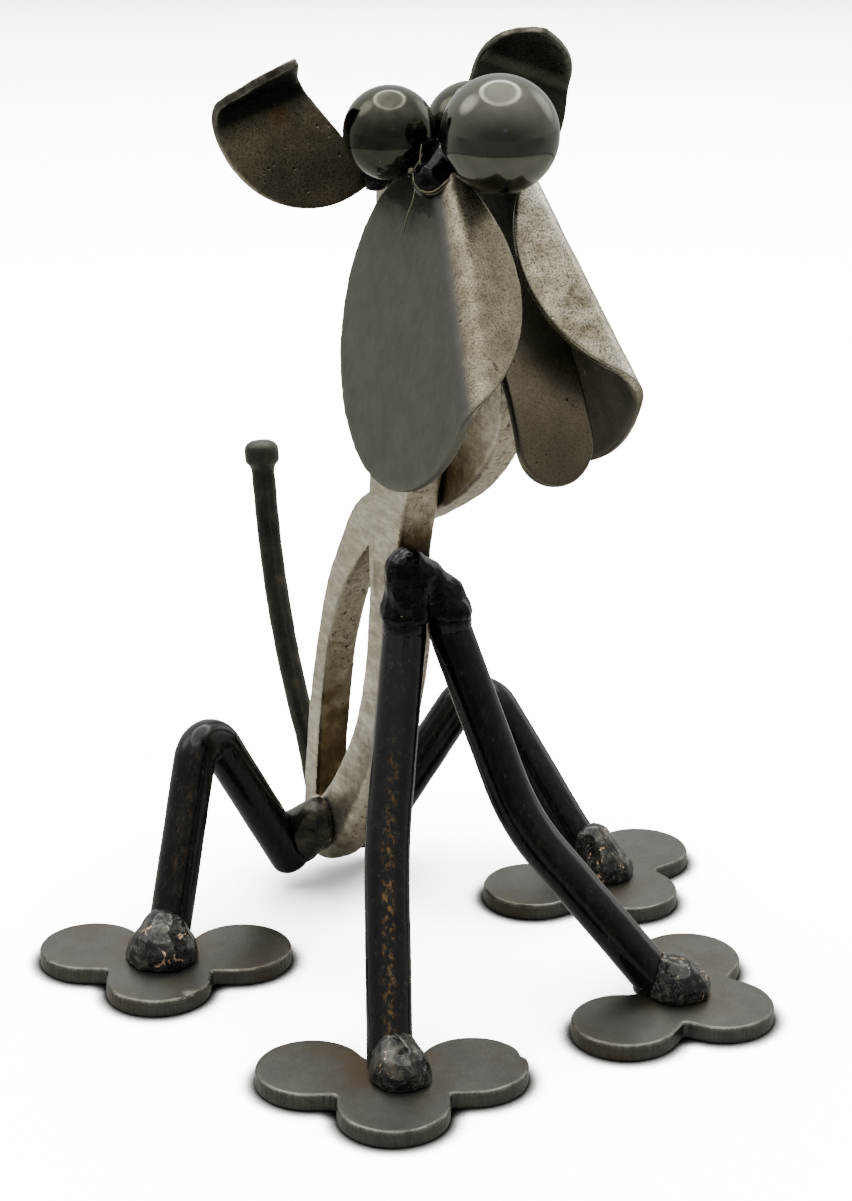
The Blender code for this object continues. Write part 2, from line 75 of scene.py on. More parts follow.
BEND_REACH = 7.7
KNEES = {"rear_right": ((-29.0, 46.5, 41.0), 4.6), "rear_left": ((30.4, 45.7, 39.0), 5.15)}
THIGH_ENDS = {"rear_right": (-9.0, 49.5, 5.0), "rear_left": (8.4, 52.0, 4.0)}

# Bars: (y, z, width in the plane, half thickness, rounding of the outer corners)
NECK_AND_CHEST = (
    (15.6, 156.5, 9.0, 3.2, 1.0), (15.6, 150.0, 11.6, 3.7, 1.0), (16.4, 126.0, 15.5, 3.7, 1.0),
    (17.2, 103.0, 16.9, 3.7, 1.0), (19.9, 83.0, 12.4, 3.7, 1.0), (20.9, 74.0, 10.6, 3.7, 1.0),
    (20.8, 61.0, 11.5, 3.8, 1.2), (24.4, 45.0, 10.6, 3.9, 1.6), (31.0, 31.0, 10.2, 3.9, 2.2),
    (39.9, 18.6, 11.4, 3.9, 2.8), (46.0, 12.6, 12.2, 3.9, 3.0), (51.8, 10.2, 13.2, 3.9, 3.0),
    (56.2, 11.2, 9.8, 3.6, 2.6),
)
BACK = (
    (23.5, 84.5, 7.6, 3.3, 1.0), (29.2, 80.2, 8.6, 3.3, 1.0), (35.2, 73.4, 7.2, 3.3, 1.0),
    (41.0, 65.0, 5.8, 3.3, 1.0), (46.6, 52.0, 5.0, 3.3, 1.0), (50.4, 36.6, 5.4, 3.3, 1.0),
    (52.6, 23.1, 5.8, 3.3, 1.0), (53.6, 13.5, 5.8, 3.3, 1.0),
)
THROAT = (
    (27.0, 81.9, 5.0, 2.9, 0.8), (20.4, 86.3, 6.8, 2.95, 0.8), (8.7, 94.6, 9.5, 2.95, 0.8),
    (1.2, 101.7, 10.5, 2.95, 0.8), (-2.9, 107.6, 10.5, 2.95, 0.8), (-4.5, 114.7, 10.1, 2.95, 0.8),
    (-5.2, 127.0, 8.0, 2.95, 0.8),
)
THROAT_X = 6.95
INNER_ROUNDING = 0.7

# Folded plates, all given as right-hand ones
JOWL = {
    "corner": (-10.35, -11.2, 146.3), "crease": (-0.18, -0.58, -0.79), "side": (-0.04, 0.81, -0.59),
    "outward": (-0.98, 0.08, 0.16), "fold": math.radians(95.2), "bend_radius": 4.5, "bends_outward": False,
    "centre": (15.06, -17.2), "half_axes": (26.6, 28.35), "thickness": 1.5,
}
EAR = {"bends_outward": True, "bend_radius": 4.0, "half_axes": (18.7, 18.7), "thickness": 1.5}
FOLDED = {
    "jowl_right": JOWL,
    "jowl_left": {**JOWL, "corner": (-10.05, -11.2, 146.3), "half_axes": (26.2, 28.05)},
    "ear_right": {
        **EAR, "corner": (-24.3, 19.0, 159.0), "crease": (-0.96, -0.11, -0.25),
        "side": (0.26, -0.12, -0.96), "outward": (0.07, -0.99, 0.15), "fold": math.radians(72.0),
        "centre": (-7.4, -2.9), "cut": (0.0, 0.445), "corner_radius": 0.5,
    },
    "ear_left": {
        **EAR, "corner": (-24.2, 21.6, 159.5), "crease": (-0.932, -0.059, -0.366),
        "side": (0.37, -0.139, -0.924), "outward": (0.008, -0.99, 0.149), "fold": math.radians(65.7),
        "centre": (-7.6, -6.6), "cut": (-1.4, 0.03), "corner_radius": 8.4,
    },
}
TONGUE_X = 2.5
TONGUE_SPINE = ((-10.1, 136.7), (-21.0, 124.3), (-27.6, 114.2), (-31.2, 103.0))
TONGUE_HALF_WIDTH = 6.9
TONGUE_THICKNESS = 2.0
TAIL_SPINE = ((0.7, 59.0, 13.0), (0.5, 59.0, 16.5), (0.1, 60.4, 24.0), (-0.8, 64.4, 34.5), (-1.2, 69.6, 47.5),
              (-1.2, 74.0, 61.0), (-1.2, 77.0, 76.0), (-1.2, 77.9, 83.0))
TAIL_RADIUS = 2.3
TAIL_FOOT = (0.7, 59.0, 10.6)  # its lower end, which bends this far forward, to meet the body
TAIL_LEANS_IN = 1.8
NOSE_CENTRE = (-1.5, -17.5, 158.6)

# Scraps of welding wire on the head's weld: their paths and radii
HEAD_WIRES = (
    (((-9.9, -7.0, 154.6), (-10.8, -7.2, 153.2), (-11.7, -7.3, 151.9), (-12.4, -8.8, 150.6),
      (-11.9, -10.4, 149.3), (-10.3, -12.0, 149.4), (-7.6, -12.3, 151.4)), 0.17),
    (((-11.4, -7.6, 151.6), (-12.0, -8.9, 150.3), (-11.4, -10.2, 148.9), (-9.9, -11.9, 149.0),
      (-7.4, -12.2, 150.9)), 0.15),
    (((-11.9, -6.9, 152.3), (-12.1, -7.3, 151.6)), 0.55),
    (((-12.2, -8.9, 149.6), (-11.2, -6.0, 146.6), (-10.8, -3.6, 144.2), (-11.3, -2.7, 140.4)), 0.15),
    (((-10.2, -7.2, 156.2), (-11.0, -8.2, 154.0), (-11.2, -9.0, 152.0)), 0.14),
)
# Nicks in the toes' edges: place in the paw's own plane, size, depth
NICKS = {
    "front_right": (((-22.6, -3.6), 1.3, 0.7),),
    "rear_right": (((-6.5, 19.6), 1.4, 0.6),),
}
# The thread of rust on each rod, and the side of the rod that it runs along
RUST = {"front_right": 0.9, "front_left": 0.06, "rear_right": 0.22, "rear_left": 0.06}
RUST_FACES = (-0.40, -0.84, 0.36)

# The camera and the room
CAMERA_AT = (-213.6, -391.3, 234.2)
CAMERA_LOOKS = (0.4418, 0.8309, -0.3384)
LENS = 80.9
SHOWN_SKY = 3.9                # the white backdrop that the camera takes for the room
SHOWN_FLOOR = 9.0              # the floor as the camera takes it, overexposed
FLOOR_FADE = (0.45, 1.4)       # distances in metres over which that falls, and the share it falls to
FLOOR_FAR = 0.24
FLOOR_SHADE_SAMPLES = 14
TABLE = 0.38                   # the table's grey in the balls
ROOM = 0.13                    # the floor beyond the table, toward the camera and behind the dog
ROOM_BEHIND = 0.30
TABLE_RADIUS = 333.0           # the table's round edge, about a point this far behind the nose
TABLE_BEHIND = 100.0
ROOM_LIGHT = 0.20              # brightness toward the camera, to the sides, behind, and what the ceiling adds
SIDE_LIGHT = 0.58
WALL_LIGHT = 0.92
CEILING_LIGHT = 0.9
RING_TILT = 9.0                # the ring's axis, in degrees behind the vertical, and the ring's half angles
RING_INNER = 29.5
RING_OUTER = 33.4
RING_NARROWING = 0.27          # how far the ring is an ellipse, narrower from side to side
INSIDE_LIGHT = 1.35
RING_LIGHT = 9.0
SIDE_LAMPS = (((-0.552, 0.489, 0.675), 2.8), ((0.9, 0.18, 0.386), 1.5))
WINDOW = (-0.30, -0.905, 0.30)  # the pale blue window that the balls show
WINDOW_LIGHT = 0.35
WINDOW_TONE = (0.72, 0.95, 1.3, 1.0)
ROOM_TONE = (1.0, 0.99, 0.94, 1.0)


def middle(node):
    low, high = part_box(node)
    return (low + high) / 2


SHIFT = np.array(middle("nose_ball")) / MM - np.array(NOSE_CENTRE)


def placed(points):
    """Points in millimetres as points of the row frame, in metres."""
    return (np.asarray(points, float) + SHIFT) * MM


# ---- curves and noise
def smooth_line(controls, steps):
    """Catmull-Rom curve through the controls, steps to a span."""
    p = np.array([controls[0], *controls, controls[-1]], float)
    t = np.arange(steps)[:, None] / steps
    spans = [
        0.5 * (2 * b + (c - a) * t + (2 * a - 5 * b + 4 * c - d) * t ** 2 + (3 * b - 3 * c + d - a) * t ** 3)
        for a, b, c, d in zip(p, p[1:], p[2:], p[3:])
    ]
    return np.vstack([*spans, p[-1:]])


def lengths_to(points):
    """How far along the polyline each of its points lies."""
    return np.concatenate([[0], np.cumsum(np.linalg.norm(np.diff(points, axis=0), axis=1))])


def resampled(points, count, closed=True):
    """The polyline with count points, equally spaced."""
    points = np.asarray(points, float)
    if closed:
        points = np.vstack([points, points[:1]])
    lengths = lengths_to(points)
    at = np.linspace(0, lengths[-1], count, endpoint=not closed)
    return np.column_stack([np.interp(at, lengths, column) for column in points.T])


def arc(centre, radius, start, end, steps):
    angles = np.radians(np.linspace(start, end, steps + 1))
    return [(centre[0] + radius * math.cos(a), centre[1] + radius * math.sin(a)) for a in angles]


def unit(rows):
    """Each row at length 1."""
    return rows / np.linalg.norm(rows, axis=1)[:, None]


def leftward(outline):
    """Unit vectors that point to the left of the way round a closed outline."""
    along = unit(np.roll(outline, -1, axis=0) - np.roll(outline, 1, axis=0))
    return np.column_stack([-along[:, 1], along[:, 0]])


def grain(points, size, octaves, seed):
    """Fractal noise about 0 at the points, its lumps about size millimetres across."""
    offset = Vector((seed, 2.3 * seed, -1.7 * seed))
    return np.array([noise.fractal(Vector(p) / size + offset, 1.0, 2.0, octaves) for p in points])


def bell(values, peak, width):
    """1 at the peak value, falling to 0 over about twice the width on either side."""
    return np.exp(-(((values - peak) / width) ** 2))


def rising(values, none, full):
    """0 at none, 1 at full and beyond, straight between them; full may be the lower one."""
    return np.clip((values - none) / (full - none), 0, 1)


# ---- meshes, in millimetres
def lattice(rows, columns):
    """Quads between rows of a ring-shaped lattice."""
    r = np.arange(rows - 1)[:, None] * columns
    c = np.arange(columns)
    n = (c + 1) % columns
    return np.stack([r + c, r + n, r + columns + n, r + columns + c], -1).reshape(-1, 4).tolist()


def closed_rings(rings):
    """(points, faces) of a solid from rings of equal counts, its ends closed to a middle point."""
    rings = np.asarray(rings, float)
    rows, columns, _ = rings.shape
    points = np.vstack([rings.reshape(-1, 3), rings[0].mean(0)[None], rings[-1].mean(0)[None]])
    faces = lattice(rows, columns)
    first, last = rows * columns, rows * columns + 1
    for k in range(columns):
        n = (k + 1) % columns
        faces.append([first, n, k])
        faces.append([last, (rows - 1) * columns + k, (rows - 1) * columns + n])
    return points, faces


def joined(*solids):
    points, faces, base = [], [], 0
    for p, f in solids:
        points.append(p)
        faces += [[i + base for i in face] for face in f]
        base += len(p)
    return np.vstack(points), faces


def as_mesh(name, points, faces):
    """A Blender mesh of the points with its faces turned outward."""
    mesh = bpy.data.meshes.new(name)
    mesh.from_pydata(np.asarray(points).tolist(), [], faces)
    bm = bmesh.new()
    bm.from_mesh(mesh)
    bmesh.ops.recalc_face_normals(bm, faces=bm.faces)
    bm.to_mesh(mesh)
    bm.free()
    return mesh


def arrays(mesh):
    points = np.empty(len(mesh.vertices) * 3)
    mesh.vertices.foreach_get("co", points)
    normals = np.empty(len(mesh.vertices) * 3)
    mesh.vertex_normals.foreach_get("vector", normals)
    return points.reshape(-1, 3), normals.reshape(-1, 3)


def linked(name, data):
    """An object of the data, in the scene."""
    thing = bpy.data.objects.new(name, data)
    bpy.context.scene.collection.objects.link(thing)
    return thing


def fused(points, faces, voxel, smoothing):
    """One closed skin round all the solids, with even small faces: (points, normals, faces)."""
    thing = linked("fusing", as_mesh("fusing", points, faces))
    remesh = thing.modifiers.new("skin", "REMESH")
    remesh.mode = "VOXEL"
    remesh.voxel_size = voxel
    smooth = thing.modifiers.new("smooth", "SMOOTH")
    smooth.factor = 0.5
    smooth.iterations = smoothing
    evaluated = thing.evaluated_get(bpy.context.evaluated_depsgraph_get())
    skin = bpy.data.meshes.new_from_object(evaluated)
    bpy.data.objects.remove(thing)
    points, normals = arrays(skin)
    faces = [list(face.vertices) for face in skin.polygons]
    bpy.data.meshes.remove(skin)
    return points, normals, faces


def add_piece(name, points, faces, look, nodes, marks=None):
    """A finished piece that stands for the named solids; marks are numbers kept with its points."""
    mesh = as_mesh(name, placed(points), faces)
    mesh.shade_smooth()
    mesh.materials.append(look)
    for key, values in (marks or {}).items():
        mesh.attributes.new(key, "FLOAT", "POINT").data.foreach_set("value", np.asarray(values, np.float32))
    piece = linked(name, mesh)
    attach(piece, "root")
    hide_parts(*nodes)
    return piece


# ---- materials
def tone(red, green, blue):
    """A colour from its 0-255 screen values."""
    def linear(v):
        v /= 255
        return v / 12.92 if v <= 0.04045 else ((v + 0.055) / 1.055) ** 2.4
    return linear(red), linear(green), linear(blue), 1.0


class Nodes:
    """Short calls for the nodes of self.tree, each given what feeds it and giving its output."""

    def feed(self, socket, value):
        if hasattr(value, "is_linked"):
            self.tree.links.new(value, socket)
        else:
            socket.default_value = value

    def node(self, kind, inputs=(), **settings):
        """The new node itself."""
        made = self.tree.nodes.new("ShaderNode" + kind)
        for key, value in settings.items():
            setattr(made, key, value)
        for key, value in dict(inputs).items():
            self.feed(made.inputs[key], value)
        return made

    def span(self, value, low, high, to_low=0.0, to_high=1.0):
        made = self.node("MapRange", {"Value": value, "From Min": low, "From Max": high, "To Min": to_low,
                                      "To Max": to_high})
        return made.outputs["Result"]

    def mix(self, factor, a, b):
        return self.node("Mix", {0: factor, 6: a, 7: b}, data_type="RGBA").outputs[2]

    def sum(self, a, b, operation="ADD"):
        return self.node("Math", {0: a, 1: b}, operation=operation).outputs[0]

    def times(self, a, b):
        return self.sum(a, b, "MULTIPLY")


class Look(Nodes):
    """A procedural material.  Sizes are in millimetres."""

    def __init__(self, name, metallic, specular=0.5):
        self.material = bpy.data.materials.new(name)
        self.material.use_nodes = True
        self.tree = self.material.node_tree
        self.shader = self.tree.nodes["Principled BSDF"]
        self.shader.inputs["Metallic"].default_value = metallic
        self.shader.inputs["Specular IOR Level"].default_value = specular
        self.place = self.tree.nodes.new("ShaderNodeTexCoord").outputs["Object"]

    def noise(self, size, detail, rough=0.55, stretch=None, turn=(0.0, 0.0, 0.0), distortion=0.0):
        place = self.place
        if stretch:
            place = self.node("Mapping", {"Vector": place, "Scale": stretch, "Rotation": turn}).outputs[0]
        made = self.node("TexNoise", {"Vector": place, "Scale": 1 / (size * MM), "Detail": detail,
                                      "Roughness": rough, "Distortion": distortion})
        return made.outputs["Fac"]

    def cells(self, size):
        return self.node("TexVoronoi", {"Vector": self.place, "Scale": 1 / (size * MM)}).outputs["Distance"]

    def mark(self, name):
        return self.node("Attribute", attribute_name=name).outputs["Fac"]

    def ramp(self, value, *stops):
        made = self.node("ValToRGB", {"Fac": value})
        elements = made.color_ramp.elements
        while len(elements) < len(stops):
            elements.new(0.5)
        for element, (position, colour) in zip(elements, stops):
            element.position = position
            element.color = colour if hasattr(colour, "__len__") else (colour, colour, colour, 1.0)
        return made.outputs["Color"]

    def paint(self, mask, colour, strength=None):
        """Lays the colour over what is there, where the mask is."""
        self.colour = self.mix(mask if strength is None else self.times(mask, strength), self.colour, colour)

    def distance(self, point, place=None):
        made = self.node("VectorMath", {0: place or self.place, 1: point}, operation="DISTANCE")
        return made.outputs["Value"]

    def bump(self, height, depth, under=None):
        inputs = {"Height": height, "Distance": depth * MM}
        if under is not None:
            inputs["Normal"] = under
        return self.node("Bump", inputs).outputs["Normal"]

    def finish(self, roughness, normal):
        for key, value in (("Base Color", self.colour), ("Roughness", roughness), ("Normal", normal)):
            self.feed(self.shader.inputs[key], value)
        return self.material


def ball_steel(name, low, high, dust):
    """Polished ball, dark and smeared, with a little dust on it."""
    look = Look(name, 1.0)
    smear = look.noise(5.0, 5.0, 0.6, distortion=1.0)
    look.colour = look.ramp(smear, (0.3, low), (0.7, high))
    speck = look.span(look.cells(1.3), 0.05, 0.10, 1.0, 0.0)
    speck = look.times(speck, look.span(look.noise(2.2, 1.0), 0.66 - dust, 0.70 - dust))
    look.paint(speck, tone(150, 146, 132))
    rough = look.span(smear, 0.3, 0.75, 0.09, 0.15)
    rough = look.sum(rough, look.times(speck, 0.4))
    return look.finish(rough, look.bump(look.noise(0.6, 3.0), 0.004))


def speckles(look, size, share, strength):
    """Fine noise, and in it dark grains of scale: about size across, over a share of the surface."""
    fine = look.noise(size, 5.0, 0.7)
    return fine, look.span(fine, 0.36 + 0.16 * share, 0.46 + 0.16 * share, strength, 0.0)


def pits(look, size, share):
    """Sparse round pits."""
    spots = look.span(look.cells(size), 0.10, 0.2, 1.0, 0.0)
    return look.times(spots, look.span(look.noise(4.0, 2.0), 0.66 - share, 0.72 - share))


def jowl_steel(name, side, crease, flap, painted_light, painted_light_top, painted_light_low, speckled, side_rough, flap_rough):
    """Folded plate: its side even and dull, its flap brown, shiny and speckled, with painted light at its
    ends and a painted highlight along the bend.
    """
    look = Look(name, 0.9)
    across, along = look.mark("across"), look.mark("along")
    fine, grains = speckles(look, 0.30, 0.35, speckled)
    broad = look.noise(4.0, 6.0, 0.7)
    on_flap = look.span(across, -1.6, -0.4)
    near_crease = look.times(look.span(across, -4.2, -1.9), look.span(across, -1.8, -0.2, 1.0, 0.0))
    look.colour = look.mix(look.span(broad, 0.38, 0.62), *flap)
    # painted light at the flap's top and low ends
    ends = look.sum(look.span(along, 8.0, -6.0, 0.0, painted_light_top),
                    look.span(along, 27.0, 36.0, 0.0, painted_light_low), "MAXIMUM")
    look.paint(ends, painted_light, 0.75)
    # painted highlight along the bend, broken into streaks
    bright = look.times(look.span(across, -1.8, 0.2), look.span(across, 1.2, 4.4, 1.0, 0.0))
    bright = look.times(bright, look.span(along, 2.0, 15.0, 1.0, 0.35))
    streaks = look.noise(1.4, 4.0, 0.6, (1.0, 1.0, 0.3))
    bright = look.times(bright, look.span(streaks, 0.35, 0.70))
    look.paint(bright, painted_light, 0.75)
    look.paint(grains, tone(72, 66, 54))
    scratches = look.noise(0.5, 2.0, 0.5, (1.0, 0.5, 0.12), (0.5, 0.2, 0.0))
    look.paint(look.span(scratches, 0.66, 0.70), tone(58, 52, 42), 0.6)
    flap_colour = look.colour
    look.colour = look.mix(look.span(look.noise(5.0, 3.0), 0.35, 0.65), *side)
    brushed = look.noise(0.45, 3.0, 0.6, (1.0, 1.0, 0.2))
    look.paint(look.span(brushed, 0.35, 0.65, 0.0, 0.10), tone(30, 30, 29))
    look.colour = look.mix(on_flap, look.colour, flap_colour)
    # the crease colour over the first half of the bend: a lilac band on the right jowl, a painted highlight
    # on the left one
    look.paint(near_crease, crease, 0.7)
    scuff = look.span(look.noise(2.2, 5.0, 0.75, (1.0, 1.0, 0.3), distortion=0.8), 0.70, 0.73)
    look.paint(scuff, tone(172, 168, 156), 0.4)
    spot = look.times(pits(look, 2.2, 0.05), look.span(on_flap, 0.0, 1.0, 0.35, 1.0))
    look.paint(spot, tone(24, 21, 18), 0.8)
    # a painted reflection on the side: dark, with a curved lower edge, at its top by the head
    reach = look.sum(look.times(across, 0.64), 4.1)
    sag = look.times(look.sum(across, 10.2), 0.1)
    reach = look.sum(reach, look.times(look.times(sag, sag), -1.6))
    reach = look.sum(reach, look.span(look.noise(1.5, 4.0, 0.6), 0.3, 0.7, -0.7, 0.7))
    painted_reflection = look.times(look.span(look.sum(along, reach, "SUBTRACT"), -0.6, 0.4, 1.0, 0.0),
                       look.span(across, -4.4, -2.4, 1.0, 0.0))
    look.paint(painted_reflection, tone(44, 42, 34), 0.72)
    look.paint(look.mark("rim"), tone(140, 136, 122), 0.35)
    rough = look.span(on_flap, 0.0, 1.0, side_rough, flap_rough)
    rough = look.sum(rough, look.span(fine, 0.3, 0.7, 0.05, -0.05))
    normal = look.bump(look.times(fine, look.span(on_flap, 0.0, 1.0, 0.3, 1.0)), 0.025)
    normal = look.bump(look.noise(3.0, 4.0, 0.6), 0.05, normal)
    return look.finish(rough, look.bump(look.times(spot, -1.0), 0.08, normal))


def plate_steel(name, dark, light, grain_colour, speckled, rough, rim_wear_and_highlight, tint=None, edge=tone(150, 146, 134),
                pitted=0.06, spot=None, painted_shading=None, shading_colour=tone(26, 25, 18), scorched=()):
    """Rolled plate: fine scale, a few black pits, rims lightened by wearing and by a painted edge highlight,
    brown rings round the scorched places, and painted shading across the sheet where it is given.
    """
    look = Look(name, 0.9)
    broad = look.noise(9.0, 4.0, 0.6)
    fine, grains = speckles(look, 0.34, 0.4, speckled)
    look.colour = look.mix(look.span(broad, 0.36, 0.64), dark, light)
    if tint:
        look.paint(look.span(look.noise(13.0, 3.0), 0.48, 0.62, 0.0, 0.75), tint)
    look.paint(grains, grain_colour)
    holes = pits(look, 1.7, pitted)
    look.paint(holes, tone(16, 14, 11), 0.85)
    for place in scorched:
        away = look.distance(placed(place))
        away = look.sum(away, look.span(look.noise(3.0, 4.0), 0.3, 0.7, -2.5 * MM, 2.5 * MM))
        look.paint(look.span(away, 6.5 * MM, 11.0 * MM, 0.4, 0.0), tone(86, 70, 50))
    if spot:
        s, t, size = spot
        sheet = look.node("CombineXYZ", {0: look.mark("along"), 1: look.mark("across")}).outputs[0]
        away = look.distance((s, t, 0.0), sheet)
        rusty = look.times(look.span(away, 0.3 * size, size, 1.0, 0.0), look.span(fine, 0.38, 0.5, 0.1, 1.0))
        look.paint(rusty, tone(150, 104, 40), 0.6)
    # painted shading across the sheet: shade in the right ear's curl, light on the tongue's upper part
    if painted_shading:
        look.paint(look.span(look.mark("across"), *painted_shading, 0.0, 0.9), shading_colour)
    rim, side = look.mark("rim"), look.mark("side")
    saw = look.noise(0.42, 3.0, 0.6, (1.0, 1.0, 0.12))
    look.paint(look.times(side, look.span(saw, 0.35, 0.65, 0.34, 0.0)), tone(40, 38, 34))
    # the rims lighter: by wearing, and by a painted edge highlight
    wear_and_highlight = look.times(rim, look.span(look.noise(2.6, 5.0, 0.75), 0.42, 0.62, 0.12 * rim_wear_and_highlight, rim_wear_and_highlight))
    look.paint(wear_and_highlight, edge)
    roughness = look.sum(look.span(fine, 0.3, 0.7, rough + 0.05, rough - 0.05), look.times(rim, -0.08))
    normal = look.bump(fine, 0.02)
    normal = look.bump(look.times(saw, side), 0.08, normal)
    return look.finish(roughness, look.bump(look.times(holes, -1.0), 0.10, normal))


def forged_steel():
    """Bright ground steel of the scissor halves: brushed, pitted on the edges, browned by the welding, with a
    painted highlight along the ridges.
    """
    look = Look("forged_steel", 0.95)
    broad = look.noise(12.0, 5.0, 0.6)
    brush = look.noise(0.9, 5.0, 0.75, (1.0, 0.16, 0.55), (0.5, 0.0, 0.0))
    hollow = look.noise(1.0, 6.0, 0.75)
    edge, ridge_highlight = look.mark("edge"), look.mark("ridge_highlight")
    look.colour = look.mix(look.span(broad, 0.35, 0.65), tone(200, 193, 174), tone(232, 226, 210))
    look.paint(look.span(brush, 0.38, 0.62, 0.0, 0.5), tone(110, 98, 77))
    look.paint(edge, tone(164, 150, 122), 0.25)
    # painted highlight along the bars' rounded ridges
    look.paint(ridge_highlight, tone(240, 235, 220), 0.55)
    dips = look.times(look.span(hollow, 0.37, 0.46, 1.0, 0.0), look.span(edge, 0.0, 1.0, 0.2, 0.9))
    look.paint(dips, tone(48, 42, 32))
    heat = look.mark("scorch")
    look.paint(look.span(heat, 0.12, 0.55), tone(108, 94, 70))
    look.paint(look.span(heat, 0.50, 0.9), tone(32, 27, 20))
    rough = look.span(brush, 0.3, 0.7, 0.26, 0.42)
    normal = look.bump(brush, 0.05)
    normal = look.bump(look.times(hollow, look.span(edge, 0, 1, 0.2, 1.0)), 0.20, normal)
    return look.finish(rough, normal)


def black_rod():
    """Black scale, glossy, scraped in places, with a thread of rust."""
    look = Look("black_rod", 0.0, 0.26)
    broad = look.noise(7.0, 5.0, 0.65)
    streak = look.noise(1.6, 5.0, 0.7, (1.0, 1.0, 0.16))
    look.colour = look.ramp(broad, (0.3, tone(4, 4, 2)), (0.55, tone(9, 9, 6)), (0.8, tone(26, 23, 18)))
    scrape = look.span(look.noise(0.8, 5.0, 0.75, (1.0, 1.0, 0.2)), 0.60, 0.70, 0.0, 0.5)
    look.paint(scrape, tone(84, 80, 70))
    look.paint(look.span(streak, 0.54, 0.72, 0.0, 0.3), tone(66, 63, 56))
    grains = look.noise(0.9, 4.0, 0.65, (1.0, 1.0, 0.35))
    rusty = look.times(look.mark("rust"), look.span(grains, 0.50, 0.66))
    look.paint(rusty, tone(122, 92, 56))
    rough = look.sum(look.span(broad, 0.3, 0.7, 0.07, 0.20), look.times(rusty, 0.3))
    normal = look.bump(look.noise(1.2, 4.0, 0.6), 0.02)
    return look.finish(rough, look.bump(streak, 0.04, normal))


def weld_bead(name, dark, mid, light, lines, fleck_share, rough, specular=0.5, uneven=0.16):
    """Molten-looking bead: glossy, with curling grey lines, copper flecks and, where marked, bright wire."""
    look = Look(name, 0.4, specular)
    broad = look.noise(3.2, 3.0, 0.5, distortion=0.8)
    look.colour = look.ramp(broad, (0.36, dark), (0.54, mid), (0.74, light))
    curl = look.sum(look.sum(look.noise(2.8, 2.0, 0.5, distortion=1.2), 0.5, "SUBTRACT"), 0.0, "ABSOLUTE")
    look.paint(look.span(curl, 0.0, 0.016, lines, 0.0), tone(132, 128, 116))
    fleck = look.span(look.noise(2.4, 3.0, 0.6, distortion=1.0), 0.68 - fleck_share, 0.73 - fleck_share)
    look.paint(fleck, tone(200, 168, 142), 0.85)
    look.paint(look.mark("wire"), tone(126, 120, 102))
    look.paint(look.mark("rim"), tone(92, 72, 48))
    roughness = look.sum(look.span(broad, 0.3, 0.7, rough, rough + 0.08), look.times(fleck, 0.15))
    return look.finish(roughness, look.bump(look.noise(2.4, 2.0, 0.5), uneven))


def nail_steel():
    look = Look("nail_steel", 0.6)
    broad = look.noise(4.0, 5.0, 0.65)
    look.colour = look.ramp(broad, (0.3, tone(34, 35, 31)), (0.55, tone(50, 50, 45)),
                            (0.75, tone(82, 76, 64)))
    look.paint(look.mark("head"), tone(66, 70, 62), 0.4)
    normal = look.bump(look.noise(1.0, 5.0, 0.65), 0.05)
    return look.finish(look.span(broad, 0.3, 0.7, 0.24, 0.40), normal)


# ---- balls
def ball_piece(node, look):
    low, high = (np.array(corner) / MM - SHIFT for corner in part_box(node))
    centre, radius = (low + high) / 2, (high[2] - low[2]) / 2
    turns = np.linspace(0, 2 * math.pi, 144, endpoint=False)
    rings = [
        np.column_stack([np.cos(turns) * math.sin(a), np.sin(turns) * math.sin(a), 0 * turns + math.cos(a)])
        for a in np.linspace(0, math.pi, 74)[1:-1]
    ]
    points, faces = closed_rings(np.array(rings) * radius + centre)
    points[-2:] = centre + np.array([[0, 0, radius], [0, 0, -radius]])
    return add_piece(node + "_look", points, faces, look, [node])


# ---- plates
class Fold:
    """A flat sheet with distances s along a crease and t across it, bent round the crease."""

    def __init__(self, shape, left):
        self.crease = np.array(Vector(shape["crease"]).normalized())
        up = -np.array(shape["side"])
        up = up - self.crease * (up @ self.crease)
        self.up = up / np.linalg.norm(up)
        face = np.array(shape["outward"])
        face = face - self.crease * (face @ self.crease) - self.up * (face @ self.up)
        self.face = face / np.linalg.norm(face)
        self.corner = np.array(shape["corner"])
        self.radius, self.fold = shape["bend_radius"], shape["fold"]
        self.half_bend = self.radius * self.fold / 2
        self.turn = 1.0 if shape["bends_outward"] else -1.0
        self.mirror = np.array([-1.0, 1.0, 1.0]) if left else np.ones(3)

    def at(self, s, t, height):
        """Points of the bent sheet, height above its face."""
        angle = np.clip((t + self.half_bend) / self.radius, 0, self.fold)
        before = np.minimum(t + self.half_bend, 0)
        beyond = np.maximum(t - self.half_bend, 0)
        sine, cosine = np.sin(angle), np.cos(angle)
        along = before + self.radius * sine + beyond * math.cos(self.fold)
        out = self.turn * (self.radius * (1 - cosine) + beyond * math.sin(self.fold))
        normal = cosine[:, None] * self.face - (self.turn * sine)[:, None] * self.up
        points = (self.corner + s[:, None] * self.crease + along[:, None] * self.up
                  + out[:, None] * self.face + height[:, None] * normal)
        return points * self.mirror


